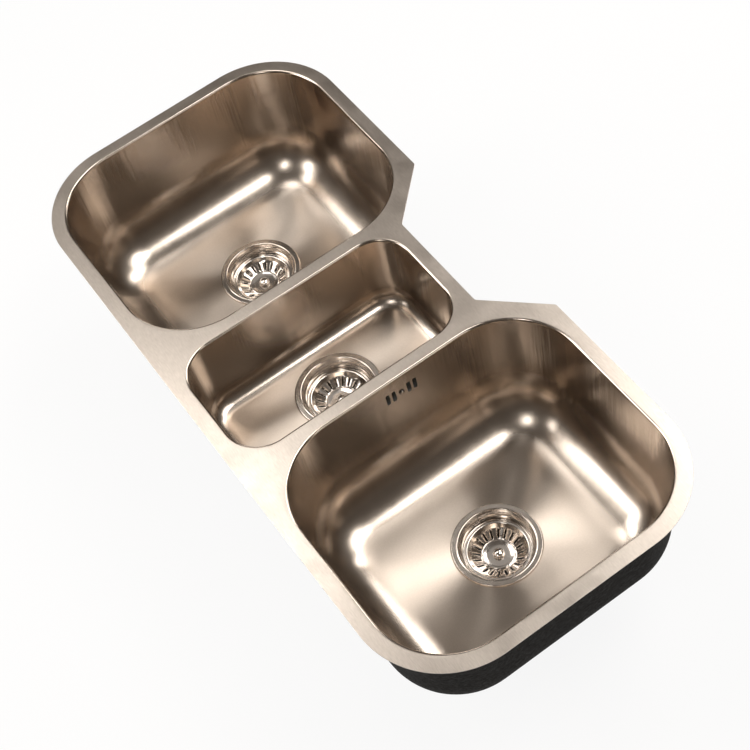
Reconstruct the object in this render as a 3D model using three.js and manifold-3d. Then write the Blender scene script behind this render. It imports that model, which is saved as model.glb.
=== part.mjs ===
// Three-compartment undermount sink: one deck plate with two large bowls and a small one
// between them, each with a basket strainer waste, and an overflow in the right bowl.
// Millimetres, +X to the right, +Y towards the back, +Z up. The origin is on the top of the
// deck, in the middle of the front flange, where a worktop rests on the sink.
import * as THREE from "three";
import { mergeVertices } from "three/addons/utils/BufferGeometryUtils.js";
import Module from "manifold-3d";

const wasm = await Module();
wasm.setup();

// Sheet, clearances and overruns
const SHEET = 1; // pressed stainless steel sheet
const REST_GAP = 0.3; // between two pieces that touch on the real sink
const BORE_GAP = 0.4; // round a screw or a stem in its bore
const CUT_OVERRUN = 2; // how far a cutter passes the face it cuts
const MERGE_DISTANCE = 0.001; // vertices closer than this are one

// Deck plate
const LEFT_FLANGE = 18;
const RIGHT_FLANGE = 22;
const FRONT_FLANGE = 22;
const BACK_FLANGE = 20;
const DIVIDER = 20.5; // deck between two bowls
const DECK_CORNER = 116; // radius of the four round corners
const NOTCH_FROM_LEFT_BOWL = 29; // from the left bowl's opening to the notch
const NOTCH_FROM_RIGHT_BOWL = 30.5; // from the notch to the right bowl's opening
const NOTCH_SLANT = 71; // how far each slanted side of the notch runs along the back edge
const DECK_ARC_STEPS = 10;

// Bowls
const LEFT_WIDTH = 340;
const MIDDLE_WIDTH = 176;
const RIGHT_WIDTH = 343;
const BIG_LENGTH = 395; // front to back
const MIDDLE_LENGTH = 324;
const BIG_DEPTH = 183;
const MIDDLE_DEPTH = 121;
const BIG_CORNER = 98; // radius of the opening's corners
const MIDDLE_CORNER = 48;
const BIG_FILLET = 75; // radius from wall to floor
const MIDDLE_FILLET = 24;
const WALL_DRAFT = THREE.MathUtils.degToRad(2);
const EDGE_ROLL = 3.5; // radius of the rolled top edge
const EDGE_LIP = 3; // flat margin of a bowl outside its rolled edge
const CORNER_STEPS = 6;
const ROLL_STEPS = 2;
const FILLET_STEPS = 4;

// Sound-deadening coat on the outside of the bowls
const COAT = 1.7;
const COAT_BELOW_DECK = 6;
const COAT_CLEARANCE = 3; // round a waste's clamp

// Wastes, measured down from the bowl's floor
const BIG_DRAIN_SETBACK = 7.5; // of the waste behind the middle of its bowl
const MIDDLE_DRAIN_SETBACK = 4;
const HOLE_CLEARANCE = 0.2; // of the hole in the bowl round the rim's inner edge
const RIM_RADIUS = 58.5;
const RIM_HEIGHT = 2.5;
const RIM_BEVEL = 1.3;
const RIM_WIDTH = 7.6; // of its flat top
const THROAT_SLOPE = 4; // from the rim's inner edge in to the throat
const THROAT_DEPTH = 4;
const THROAT_TAPER = 1.6; // from the throat in to the seat
const SEAT_DEPTH = 15;
const SEAT_WIDTH = 4.8; // of the ledge that the basket hangs on
const CUP_BELOW_SEAT = 21;
const CUP_TAPER = 1.7;
const HUB_RADIUS = 10.5; // sunk middle of the cup's bottom
const HUB_TAPER = 1;
const HUB_DEPTH = 4;
const WINDOW_COUNT = 4;
const WINDOW_FROM_HUB = 3;
const WINDOW_OUTER_RADIUS = 28;
const WINDOW_SPOKE = 6;
const WINDOW_ARC_STEPS = 4;
const METAL_STEPS = 24;
const PLASTIC_STEPS = 16;

// Seals of a waste
const RIM_SEAL_MARGIN = 1.2; // from the hole and from the rim's bevel
const CLAMP_SEAL = 3;
const CLAMP_SEAL_MARGIN = 1; // from the hole

// Plastic waste body
const BODY_WALL = 2.5;
const BODY_FLANGE = 5;
const CLAMP_WIDTH = 6.3; // of the flange beyond the neck
const BODY_NECK_CLEARANCE = 1.6; // round the waste flange's throat
const BODY_BELOW_SEAT = 5;
const BODY_CUP_CLEARANCE = 1.3; // round the waste flange's cup
const BODY_BELOW_CUP = 10;
const BODY_CONE = 5; // height of the taper under the neck
const BODY_FUNNEL = 10; // height of the taper above the outlet
const OUTLET_RADIUS = 20.5;
const OUTLET_WALL = 3.4; // with its thread
const OUTLET_LENGTH = 30;
const WEB_THICKNESS = 4;
const WEB_HEIGHT = 10;
const WEB_HUB_RADIUS = 7;

// Centre screw of a waste
const SCREW_RADIUS = 2.9;
const SCREW_HEAD_RADIUS = 7.5;
const SCREW_HEAD = 3.2;
const SCREW_HEAD_BEVEL = 0.6;
const SOCKET_DEPTH = 2.4; // where the basket's stem centres itself
const SCREW_SHORT_OF_WEB = 2;
const SCREW_STEPS = 12;

// Strainer basket
const BASKET_SHEET = 0.8;
const BASKET_CLEARANCE = 2.2; // of its lip inside the seat
const BASKET_LIP = 3.2;
const BASKET_SHOULDER = 3.8; // as much in as down
const BASKET_FOOT_DROP = 12.8;
const BASKET_DISC_RADIUS = 20.4;
const BASKET_DISC_STEP = 1; // from the disc out to the cone's foot
const BASKET_DISC_RISE = 1.2;
const SLOT_COUNT = 20;
const SLOT_WIDTH = 3.4; // at the shoulder

// Knob, stem and stopper of a basket
const KNOB_RADIUS = 7.4;
const KNOB_NECK_RADIUS = 4.6;
const KNOB_NECK = 2;
const KNOB_DOME = 4.6;
const STEM_RADIUS = 3;
const STEM_TIP_GAP = 0.4;
const KNOB_STEPS = 16;
const KNOB_DOME_STEPS = 4;
const STOPPER_RADIUS = 30.5;
const STOPPER_EDGE_RADIUS = 29;
const STOPPER_THICKNESS = 2.2;
const STOPPER_HUB_RADIUS = 8;

// Overflow in the right bowl's left wall
const OVERFLOW_DEPTH = 32; // of its middle below the deck
const OVERFLOW_SLOT_WIDTH = 5.5;
const OVERFLOW_SLOT_HEIGHT = 20;
const OVERFLOW_SLOT_FROM_SCREW = 11;
const OVERFLOW_SLOT_PITCH = 9;
const OVERFLOW_SCREW_RADIUS = 2;
const OVERFLOW_SCREW_HEAD_RADIUS = 3.6;
const OVERFLOW_SCREW_HEAD = 2.2;
const OVERFLOW_SEAL = 1.5; // at its thinnest
const OVERFLOW_SEAL_RIM = 4;
const HOUSING_WIDTH = 70;
const HOUSING_HEIGHT = 36;
const HOUSING_CLEARANCE = 2.2; // from the middle bowl's coat
const HOUSING_WALL = 1.8;
const BOSS_RADIUS = 4.4;
const SPIGOT_WALL = 1.3;
const SPIGOT_LENGTH = 16;
const PIPE_WALL = 1.5; // the pipe is as wide as the housing is thick
const PIPE_BEND = 45;
const PIPE_STEPS = 16;
const PIPE_SIDES = 10;
const INLET_DEPTH = 33; // of the pipe's inlet below the right bowl's floor
const INLET_SHOULDER = 1.5; // from the body to the pipe's end
const OVERFLOW_STEPS = 12;
const WINDOW_IN_COAT_MARGIN = 4;

const FULL_TURN = 2 * Math.PI;
const QUARTER_TURN = Math.PI / 2;
const UPRIGHT = new THREE.Matrix4().makeRotationX(QUARTER_TURN); // from +Y up to +Z up

// Radii of a waste, from its rim inwards and then out to the clamp
const rimLipRadius = RIM_RADIUS - RIM_BEVEL - RIM_WIDTH;
const wasteHoleRadius = rimLipRadius + HOLE_CLEARANCE;
const throatRadius = rimLipRadius - THROAT_SLOPE;
const seatRadius = throatRadius - THROAT_TAPER;
const cupRadius = seatRadius - SEAT_WIDTH;
const cupBottomRadius = cupRadius - CUP_TAPER;
const cupDepth = SEAT_DEPTH + CUP_BELOW_SEAT;
const hubFloorRadius = HUB_RADIUS - HUB_TAPER;
const neckRadius = throatRadius + SHEET + BODY_NECK_CLEARANCE;
const neckDepth = SEAT_DEPTH + BODY_BELOW_SEAT;
const bodyCupRadius = cupRadius + SHEET + BODY_CUP_CLEARANCE;
const bodyCupDepth = cupDepth + BODY_BELOW_CUP;
const clampRadius = neckRadius + BODY_WALL + CLAMP_WIDTH;
const threadRadius = OUTLET_RADIUS + OUTLET_WALL;
const coatHoleRadius = clampRadius + COAT_CLEARANCE;

// Where the bowls lie
const deckLength =
  LEFT_FLANGE + LEFT_WIDTH + DIVIDER + MIDDLE_WIDTH + DIVIDER + RIGHT_WIDTH + RIGHT_FLANGE;
const deckLeft = -deckLength / 2;
const deckRight = deckLength / 2;
const deckFront = -FRONT_FLANGE / 2;
const bowlFront = FRONT_FLANGE / 2;
const deckBack = bowlFront + BIG_LENGTH + BACK_FLANGE;
const notchBack = bowlFront + MIDDLE_LENGTH + BACK_FLANGE;

// A bowl keeps a flat floor under its waste, so its fillet takes no more room than is left
function bowlAt(left, width, length, depth, corner, fillet, setback) {
  const room = Math.min(width, length) / 2 - RIM_RADIUS - depth * Math.tan(WALL_DRAFT);
  return {
    left,
    right: left + width,
    front: bowlFront,
    back: bowlFront + length,
    depth,
    corner,
    fillet: Math.min(fillet, room),
    drainX: left + width / 2,
    drainY: bowlFront + length / 2 + setback,
  };
}

const leftX = deckLeft + LEFT_FLANGE;
const middleX = leftX + LEFT_WIDTH + DIVIDER;
const rightX = middleX + MIDDLE_WIDTH + DIVIDER;
const leftBowl = bowlAt(
  leftX, LEFT_WIDTH, BIG_LENGTH, BIG_DEPTH, BIG_CORNER, BIG_FILLET, BIG_DRAIN_SETBACK,
);
const middleBowl = bowlAt(
  middleX, MIDDLE_WIDTH, MIDDLE_LENGTH, MIDDLE_DEPTH, MIDDLE_CORNER, MIDDLE_FILLET, MIDDLE_DRAIN_SETBACK,
);
const rightBowl = bowlAt(
  rightX, RIGHT_WIDTH, BIG_LENGTH, BIG_DEPTH, BIG_CORNER, BIG_FILLET, BIG_DRAIN_SETBACK,
);
const bowls = { left: leftBowl, middle: middleBowl, right: rightBowl };

// Materials
function metal(color, roughness) {
  return new THREE.MeshStandardMaterial({ color, roughness, metalness: 1 });
}
function plain(color, roughness) {
  return new THREE.MeshStandardMaterial({ color, roughness, metalness: 0 });
}
const brushedSteel = metal("#c9bcae", 0.38);
const polishedSteel = metal("#d9d0c6", 0.14);
const screwSteel = metal("#b9b4ae", 0.3);
const deadeningCoat = plain("#201d18", 0.9);
const blackRubber = plain("#1b1b1c", 0.75);
const greyPlastic = plain("#c8cac9", 0.5);

// Solids that are cut or joined
function solidFrom(geometry) {
  const bare = geometry.clone();
  bare.deleteAttribute("normal");
  bare.deleteAttribute("uv");
  const merged = mergeVertices(bare, MERGE_DISTANCE);
  const triVerts = new Uint32Array(merged.index.array);
  const vertProperties = merged.attributes.position.array;
  return new wasm.Manifold(new wasm.Mesh({ numProp: 3, vertProperties, triVerts }));
}

function geometryFrom(solid) {
  const { vertProperties, triVerts } = solid.getMesh();
  const geometry = new THREE.BufferGeometry();
  geometry.setAttribute("position", new THREE.Float32BufferAttribute(vertProperties, 3));
  geometry.setIndex([...triVerts]);
  return geometry;
}

// A body of one base, with what is added to it and then what is cut out of it
function carved(base, { add = [], cut = [] }) {
  let solid = solidFrom(base);
  for (const piece of add) solid = solid.add(solidFrom(piece));
  for (const piece of cut) solid = solid.subtract(solidFrom(piece));
  return geometryFrom(solid);
}

// A turned piece about the Z axis from its outline of [radius, z] points, listed clockwise on
// a page with the radius to the right and z up. The outline closes on itself, or starts on the
// axis at the top and ends on it at the bottom.
function turned(outline, steps) {
  const points = outline.map(([radius, z]) => new THREE.Vector2(radius, z));
  const onAxis = points[0].x === 0;
  if (!onAxis) points.push(points[0].clone());
  return new THREE.LatheGeometry(points.reverse(), steps).applyMatrix4(UPRIGHT);
}

// A plain ring between two radii and two heights
function ring(inner, outer, low, high, steps) {
  return turned([[outer, low], [inner, low], [inner, high], [outer, high]], steps);
}

// A round bar along X, between two places, or standing along Z
function barAlongX(radius, from, to, y, z, steps) {
  const bar = new THREE.CylinderGeometry(radius, radius, to - from, steps);
  return bar.rotateZ(QUARTER_TURN).translate((from + to) / 2, y, z);
}
function barAlongZ(radius, low, high, x, y, steps) {
  const bar = new THREE.CylinderGeometry(radius, radius, high - low, steps);
  return bar.rotateX(QUARTER_TURN).translate(x, y, (low + high) / 2);
}
function block(xFrom, xTo, yFrom, yTo, zFrom, zTo) {
  const box = new THREE.BoxGeometry(xTo - xFrom, yTo - yFrom, zTo - zFrom);
  return box.translate((xFrom + xTo) / 2, (yFrom + yTo) / 2, (zFrom + zTo) / 2);
}

// A closed body over a cycle of loops, each with as many points, counter-clockwise from above,
// listed inwards over the top and outwards again underneath
function bodyOverLoops(loops) {
  const count = loops[0].length;
  const index = [];
  loops.forEach((loop, i) => {
    const here = i * count;
    const next = ((i + 1) % loops.length) * count;
    for (let k = 0; k < count; k += 1) {
      const k1 = (k + 1) % count;
      index.push(here + k, here + k1, next + k1);
      index.push(here + k, next + k1, next + k);
    }
  });
  const geometry = new THREE.BufferGeometry();
  const positions = loops.flat().flatMap((point) => point.toArray());
  geometry.setAttribute("position", new THREE.Float32BufferAttribute(positions, 3));
  geometry.setIndex(index);
  return geometry;
}

// The bowl's outline, drawn in by an inset at a height: a rectangle with four round corners
function bowlLoop(bowl, inset, z) {
  const radius = bowl.corner - inset;
  const xs = [bowl.right - bowl.corner, bowl.left + bowl.corner];
  const ys = [bowl.back - bowl.corner, bowl.front + bowl.corner];
  const centres = [[xs[0], ys[0]], [xs[1], ys[0]], [xs[1], ys[1]], [xs[0], ys[1]]];
  return centres.flatMap(([x, y], quarter) =>
    Array.from({ length: CORNER_STEPS + 1 }, (_, step) => {
      const angle = (quarter + step / CORNER_STEPS) * QUARTER_TURN;
      return new THREE.Vector3(x + radius * Math.cos(angle), y + radius * Math.sin(angle), z);
    }),
  );
}

// A circle round the bowl's waste with as many points as the bowl's outline
function drainLoop(bowl, radius, z) {
  const count = 4 * (CORNER_STEPS + 1);
  return Array.from({ length: count }, (_, step) => {
    const angle = ((step + 1 / 2) / count) * FULL_TURN;
    const x = bowl.drainX + radius * Math.cos(angle);
    return new THREE.Vector3(x, bowl.drainY + radius * Math.sin(angle), z);
  });
}

// The inset of a bowl's wall at a height, on the face that lies offset outside the visible one
function wallInset(z, offset) {
  const rollEndInset = EDGE_ROLL * (Math.cos(WALL_DRAFT) - 1);
  const rollEndZ = EDGE_ROLL * (Math.sin(WALL_DRAFT) - 1);
  return rollEndInset + (rollEndZ - z) * Math.tan(WALL_DRAFT) - offset / Math.cos(WALL_DRAFT);
}

// [inset, z] points down the rolled edge of a bowl
function rollSection(offset) {
  return Array.from({ length: ROLL_STEPS + 1 }, (_, step) => {
    const angle = (step / ROLL_STEPS) * (QUARTER_TURN - WALL_DRAFT);
    const radius = EDGE_ROLL - offset;
    return [radius * Math.sin(angle) - EDGE_ROLL, radius * Math.cos(angle) - EDGE_ROLL];
  });
}

// [inset, z] points round the fillet from a bowl's wall to its floor
function filletSection(bowl, offset) {
  const centreZ = bowl.fillet - bowl.depth;
  const centreInset = wallInset(centreZ, 0) + bowl.fillet / Math.cos(WALL_DRAFT);
  const radius = bowl.fillet + offset;
  return Array.from({ length: FILLET_STEPS + 1 }, (_, step) => {
    const angle = WALL_DRAFT + (step / FILLET_STEPS) * (QUARTER_TURN - WALL_DRAFT);
    return [centreInset - radius * Math.cos(angle), centreZ - radius * Math.sin(angle)];
  });
}

// A bowl's face from its lip to the waste hole
function bowlFace(bowl, offset) {
  const lip = [-EDGE_ROLL - EDGE_LIP, -offset];
  const section = [lip, ...rollSection(offset), ...filletSection(bowl, offset)];
  const loops = section.map(([inset, z]) => bowlLoop(bowl, inset, z));
  return [...loops, drainLoop(bowl, wasteHoleRadius, -bowl.depth - offset)];
}

function bowlShell(bowl) {
  return bodyOverLoops([...bowlFace(bowl, 0), ...bowlFace(bowl, SHEET).reverse()]);
}

// The coat's face that lies offset outside the bowl's visible face
function coatFace(bowl, offset) {
  const top = [wallInset(-COAT_BELOW_DECK, offset), -COAT_BELOW_DECK];
  const loops = [top, ...filletSection(bowl, offset)].map(([inset, z]) => bowlLoop(bowl, inset, z));
  return [...loops, drainLoop(bowl, coatHoleRadius, -bowl.depth - offset)];
}

function coatShell(bowl) {
  const inner = SHEET + REST_GAP;
  return bodyOverLoops([...coatFace(bowl, inner), ...coatFace(bowl, inner + COAT).reverse()]);
}

// The deck: a rectangle with round corners, a notch with slanted sides behind the middle bowl,
// and an opening for each bowl
function deckPlate() {
  const notchLeft = leftBowl.right + NOTCH_FROM_LEFT_BOWL;
  const notchRight = rightBowl.left - NOTCH_FROM_RIGHT_BOWL;
  const outline = new THREE.Shape();
  outline.moveTo(notchLeft, notchBack);
  outline.lineTo(notchLeft - NOTCH_SLANT, deckBack);
  const corners = [
    [deckLeft + DECK_CORNER, deckBack - DECK_CORNER],
    [deckLeft + DECK_CORNER, deckFront + DECK_CORNER],
    [deckRight - DECK_CORNER, deckFront + DECK_CORNER],
    [deckRight - DECK_CORNER, deckBack - DECK_CORNER],
  ];
  corners.forEach(([x, y], quarter) => {
    const start = (quarter + 1) * QUARTER_TURN;
    outline.absarc(x, y, DECK_CORNER, start, start + QUARTER_TURN, false);
  });
  outline.lineTo(notchRight + NOTCH_SLANT, deckBack);
  outline.lineTo(notchRight, notchBack);
  const lip = EDGE_ROLL + EDGE_LIP + REST_GAP;
  outline.holes = Object.values(bowls).map((bowl) => {
    const points = bowlLoop(bowl, -lip, 0).map(({ x, y }) => new THREE.Vector2(x, y));
    return new THREE.Path(points.reverse());
  });
  const settings = { depth: SHEET, bevelEnabled: false, curveSegments: DECK_ARC_STEPS };
  return new THREE.ExtrudeGeometry(outline, settings).translate(0, 0, -SHEET);
}

// The stainless flange that lines the waste hole, with the cup that the basket hangs in
function wasteFlange() {
  const outline = [
    [RIM_RADIUS - RIM_BEVEL, 0],
    [RIM_RADIUS - RIM_BEVEL - SHEET, RIM_HEIGHT - SHEET],
    [rimLipRadius + SHEET / 2, RIM_HEIGHT - SHEET],
    [throatRadius + SHEET, -THROAT_DEPTH],
    [seatRadius + SHEET, -SEAT_DEPTH - SHEET],
    [cupRadius + SHEET, -SEAT_DEPTH - SHEET],
    [cupBottomRadius + SHEET, -cupDepth - SHEET],
    [HUB_RADIUS + SHEET, -cupDepth - SHEET],
    [hubFloorRadius + SHEET, -cupDepth - HUB_DEPTH - SHEET],
    [SCREW_RADIUS + BORE_GAP, -cupDepth - HUB_DEPTH - SHEET],
    [SCREW_RADIUS + BORE_GAP, -cupDepth - HUB_DEPTH],
    [hubFloorRadius, -cupDepth - HUB_DEPTH],
    [HUB_RADIUS, -cupDepth],
    [cupBottomRadius, -cupDepth],
    [cupRadius, -SEAT_DEPTH],
    [seatRadius, -SEAT_DEPTH],
    [throatRadius, -THROAT_DEPTH],
    [rimLipRadius, RIM_HEIGHT],
    [RIM_RADIUS - RIM_BEVEL, RIM_HEIGHT],
    [RIM_RADIUS, 0],
  ];
  const windows = Array.from({ length: WINDOW_COUNT }, (_, i) => drainWindow(i));
  return carved(turned(outline, METAL_STEPS), { cut: windows });
}

// One of the openings between the spokes of the cup's bottom
function drainWindow(index) {
  const pitch = FULL_TURN / WINDOW_COUNT;
  const sides = [HUB_RADIUS + WINDOW_FROM_HUB, WINDOW_OUTER_RADIUS].map((radius) => {
    const half = pitch / 2 - Math.asin(WINDOW_SPOKE / 2 / radius);
    return Array.from({ length: WINDOW_ARC_STEPS + 1 }, (_, step) => {
      const angle = index * pitch + (2 * (step / WINDOW_ARC_STEPS) - 1) * half;
      return new THREE.Vector2(radius * Math.cos(angle), radius * Math.sin(angle));
    });
  });
  const shape = new THREE.Shape([...sides[1], ...sides[0].reverse()]);
  const height = SHEET + 2 * CUT_OVERRUN;
  const cutter = new THREE.ExtrudeGeometry(shape, { depth: height, bevelEnabled: false });
  return cutter.translate(0, 0, -cupDepth - SHEET - CUT_OVERRUN);
}

function rimSeal() {
  const inner = wasteHoleRadius + RIM_SEAL_MARGIN;
  const outer = RIM_RADIUS - RIM_BEVEL - SHEET - RIM_SEAL_MARGIN;
  const high = RIM_HEIGHT - SHEET - REST_GAP;
  return ring(inner, outer, REST_GAP, high, PLASTIC_STEPS);
}

const clampTop = -SHEET - REST_GAP; // under the bowl's floor
const bodyTop = clampTop - CLAMP_SEAL - REST_GAP;
const outletTop = -bodyCupDepth - BODY_FUNNEL;
const outletEnd = outletTop - OUTLET_LENGTH;

function clampSeal() {
  const inner = wasteHoleRadius + CLAMP_SEAL_MARGIN;
  return ring(inner, clampRadius, clampTop - CLAMP_SEAL, clampTop, PLASTIC_STEPS);
}

// The plastic body under the bowl, with the web that the centre screw pulls on. The right
// one also takes the overflow pipe.
function wasteBody(withInlet) {
  const neckOuter = neckRadius + BODY_WALL;
  const cupOuter = bodyCupRadius + BODY_WALL;
  const outline = [
    [threadRadius, outletEnd],
    [OUTLET_RADIUS, outletEnd],
    [OUTLET_RADIUS, outletTop],
    [bodyCupRadius, -bodyCupDepth],
    [bodyCupRadius, -neckDepth - BODY_CONE],
    [neckRadius, -neckDepth],
    [neckRadius, bodyTop],
    [clampRadius, bodyTop],
    [clampRadius, bodyTop - BODY_FLANGE],
    [neckOuter, bodyTop - BODY_FLANGE],
    [neckOuter, -neckDepth - BODY_WALL / 2],
    [cupOuter, -neckDepth - BODY_CONE - BODY_WALL / 2],
    [cupOuter, -bodyCupDepth - BODY_WALL / 2],
    [threadRadius, outletTop - BODY_WALL / 2],
  ];
  const webLow = outletTop - WEB_HEIGHT;
  const reach = (OUTLET_RADIUS + threadRadius) / 2;
  const half = WEB_THICKNESS / 2;
  const add = [
    barAlongZ(WEB_HUB_RADIUS, webLow, outletTop, 0, 0, SCREW_STEPS),
    block(-reach, reach, -half, half, webLow, outletTop),
    block(-half, half, -reach, reach, webLow, outletTop),
  ];
  const boreRadius = SCREW_RADIUS + BORE_GAP;
  const cut = [
    barAlongZ(boreRadius, webLow - CUT_OVERRUN, outletTop + CUT_OVERRUN, 0, 0, SCREW_STEPS),
  ];
  if (withInlet) {
    const end = -cupOuter - SPIGOT_LENGTH;
    const root = -bodyCupRadius - BODY_WALL / 2;
    add.push(barAlongX(spigotRadius, end, root, 0, -INLET_DEPTH, OVERFLOW_STEPS));
    const inside = -bodyCupRadius + CUT_OVERRUN;
    cut.push(
      barAlongX(spigotBoreRadius, end - CUT_OVERRUN, inside, 0, -INLET_DEPTH, OVERFLOW_STEPS),
    );
  }
  return carved(turned(outline, PLASTIC_STEPS), { add, cut });
}

const hubFloor = -cupDepth - HUB_DEPTH;
const screwHeadLow = hubFloor + REST_GAP;
const screwHeadTop = screwHeadLow + SCREW_HEAD;
const screwEnd = outletTop - WEB_HEIGHT + SCREW_SHORT_OF_WEB;
const socketRadius = STEM_RADIUS + BORE_GAP;

function centreScrew() {
  const outline = [
    [0, screwHeadTop - SOCKET_DEPTH],
    [socketRadius, screwHeadTop - SOCKET_DEPTH],
    [socketRadius, screwHeadTop],
    [SCREW_HEAD_RADIUS - SCREW_HEAD_BEVEL, screwHeadTop],
    [SCREW_HEAD_RADIUS, screwHeadTop - SCREW_HEAD_BEVEL],
    [SCREW_HEAD_RADIUS, screwHeadLow],
    [SCREW_RADIUS, screwHeadLow],
    [SCREW_RADIUS, screwEnd],
    [0, screwEnd],
  ];
  return turned(outline, SCREW_STEPS);
}

const basketLipRadius = seatRadius - BASKET_CLEARANCE;
const shoulderRadius = basketLipRadius - BASKET_LIP - BASKET_SHOULDER;
const basketUnder = -SEAT_DEPTH + REST_GAP; // underside of the lip on its ledge
const basketTop = basketUnder + BASKET_SHEET;
const discTop = basketTop - BASKET_FOOT_DROP + BASKET_DISC_RISE;

// The basket: a lip, a slotted cone and a raised disc in the middle
function strainerBasket() {
  const boreRadius = STEM_RADIUS + BORE_GAP;
  const top = [
    [basketLipRadius, basketTop],
    [basketLipRadius - BASKET_LIP, basketTop],
    [shoulderRadius, basketTop - BASKET_SHOULDER],
    [BASKET_DISC_RADIUS + BASKET_DISC_STEP, basketTop - BASKET_FOOT_DROP],
    [BASKET_DISC_RADIUS, discTop],
    [boreRadius, discTop],
  ];
  const under = top.map(([radius, z]) => [radius, z - BASKET_SHEET]);
  const slotRow = 2; // between the shoulder and the foot
  return slottedShell(top, under, slotRow);
}

// A turned shell between two faces, listed inwards, with a ring of slots in one row of it
function slottedShell(top, under, slotRow) {
  const pitch = FULL_TURN / SLOT_COUNT;
  const slotAngle = SLOT_WIDTH / shoulderRadius;
  const positions = [];
  for (const face of [top, under]) {
    for (const [radius, z] of face) {
      for (let i = 0; i < 2 * SLOT_COUNT; i += 1) {
        const angle = Math.floor(i / 2) * pitch + (i % 2) * slotAngle;
        positions.push(radius * Math.cos(angle), radius * Math.sin(angle), z);
      }
    }
  }
  const rows = top.length;
  const columns = 2 * SLOT_COUNT;
  const topAt = (row, column) => row * columns + (column % columns);
  const underAt = (row, column) => rows * columns + topAt(row, column);
  const index = [];
  const face = (p, q, r, s) => index.push(p, q, r, p, r, s);
  // An edge wall from the top face down to the under face, between two [row, column] corners
  const wall = ([row, column], [row1, column1]) =>
    face(topAt(row, column), topAt(row1, column1), underAt(row1, column1), underAt(row, column));
  for (let column = 0; column < columns; column += 1) {
    const next = column + 1;
    const isSlot = column % 2 === 0;
    for (let row = 0; row < rows - 1; row += 1) {
      const below = row + 1;
      if (isSlot && row === slotRow) {
        wall([row, column], [row, next]);
        wall([row, next], [below, next]);
        wall([below, next], [below, column]);
        wall([below, column], [row, column]);
      } else {
        face(topAt(row, column), topAt(row, next), topAt(below, next), topAt(below, column));
        face(underAt(row, next), underAt(row, column), underAt(below, column), underAt(below, next));
      }
    }
    wall([0, next], [0, column]);
    wall([rows - 1, column], [rows - 1, next]);
  }
  const geometry = new THREE.BufferGeometry();
  geometry.setAttribute("position", new THREE.Float32BufferAttribute(positions, 3));
  geometry.setIndex(index);
  return geometry;
}

// The knob that lifts the basket out, in one piece with the stem that centres it
function liftKnob() {
  const neckLow = discTop + REST_GAP;
  const domeLow = neckLow + KNOB_NECK;
  const dome = Array.from({ length: KNOB_DOME_STEPS }, (_, step) => {
    const angle = (step / KNOB_DOME_STEPS) * QUARTER_TURN;
    return [KNOB_RADIUS * Math.cos(angle), domeLow + KNOB_DOME * Math.sin(angle)];
  });
  const stemEnd = screwHeadTop - SOCKET_DEPTH + STEM_TIP_GAP;
  const outline = [
    [0, domeLow + KNOB_DOME],
    ...dome.reverse(),
    [KNOB_NECK_RADIUS, domeLow],
    [KNOB_NECK_RADIUS, neckLow],
    [STEM_RADIUS, neckLow],
    [STEM_RADIUS, stemEnd],
    [0, stemEnd],
  ];
  return turned(outline, KNOB_STEPS);
}

// The rubber stopper under the basket, which closes the windows of the cup
function stopperSeal() {
  const boreRadius = STEM_RADIUS + BORE_GAP;
  const hubTop = discTop - BASKET_SHEET - REST_GAP;
  const low = -cupDepth + REST_GAP;
  const outline = [
    [STOPPER_RADIUS, low],
    [boreRadius, low],
    [boreRadius, hubTop],
    [STOPPER_HUB_RADIUS, hubTop],
    [STOPPER_HUB_RADIUS, low + STOPPER_THICKNESS],
    [STOPPER_EDGE_RADIUS, low + STOPPER_THICKNESS],
  ];
  return turned(outline, PLASTIC_STEPS);
}

// Overflow: the places along X that its pieces share
const overflowZ = -OVERFLOW_DEPTH;
const overflowY = rightBowl.drainY;
const wallFaceX = rightBowl.left + wallInset(overflowZ, 0);
const housingTop = overflowZ + HOUSING_HEIGHT / 2;
const housingLow = overflowZ - HOUSING_HEIGHT / 2;
const wallBackX = (z) => rightBowl.left + wallInset(z, SHEET + REST_GAP);
const sealBackX = wallBackX(housingTop) - OVERFLOW_SEAL;
const housingFrontX = sealBackX - REST_GAP;
const middleCoatX = middleBowl.right - wallInset(housingTop, SHEET + REST_GAP + COAT);
const housingBackX = middleCoatX + HOUSING_CLEARANCE;
const pipeX = (housingFrontX + housingBackX) / 2;
const pipeRadius = (housingFrontX - housingBackX) / 2;
const pipeBoreRadius = pipeRadius - PIPE_WALL;
const spigotRadius = pipeBoreRadius - REST_GAP;
const spigotBoreRadius = spigotRadius - SPIGOT_WALL;
const inletZ = -rightBowl.depth - INLET_DEPTH;

// One overflow slot, as a cutter through the bowl's wall
function overflowSlot(y) {
  const radius = OVERFLOW_SLOT_WIDTH / 2;
  const straight = OVERFLOW_SLOT_HEIGHT / 2 - radius;
  const shape = new THREE.Shape();
  shape.absarc(0, straight, radius, 0, Math.PI, false);
  shape.absarc(0, -straight, radius, Math.PI, FULL_TURN, false);
  const depth = 2 * (SHEET + CUT_OVERRUN);
  const settings = { depth, bevelEnabled: false, curveSegments: OVERFLOW_STEPS / 2 };
  const cutter = new THREE.ExtrudeGeometry(shape, settings);
  cutter.rotateX(QUARTER_TURN).rotateZ(QUARTER_TURN);
  return cutter.translate(wallFaceX - depth / 2, y, overflowZ);
}

function rightBowlShell() {
  const offsets = [OVERFLOW_SLOT_FROM_SCREW, OVERFLOW_SLOT_FROM_SCREW + OVERFLOW_SLOT_PITCH];
  const cut = offsets.flatMap((offset) => [
    overflowSlot(overflowY - offset),
    overflowSlot(overflowY + offset),
  ]);
  const holeRadius = OVERFLOW_SCREW_RADIUS + BORE_GAP;
  const from = wallFaceX - SHEET - CUT_OVERRUN;
  cut.push(
    barAlongX(holeRadius, from, wallFaceX + CUT_OVERRUN, overflowY, overflowZ, OVERFLOW_STEPS),
  );
  return carved(bowlShell(rightBowl), { cut });
}

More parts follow.
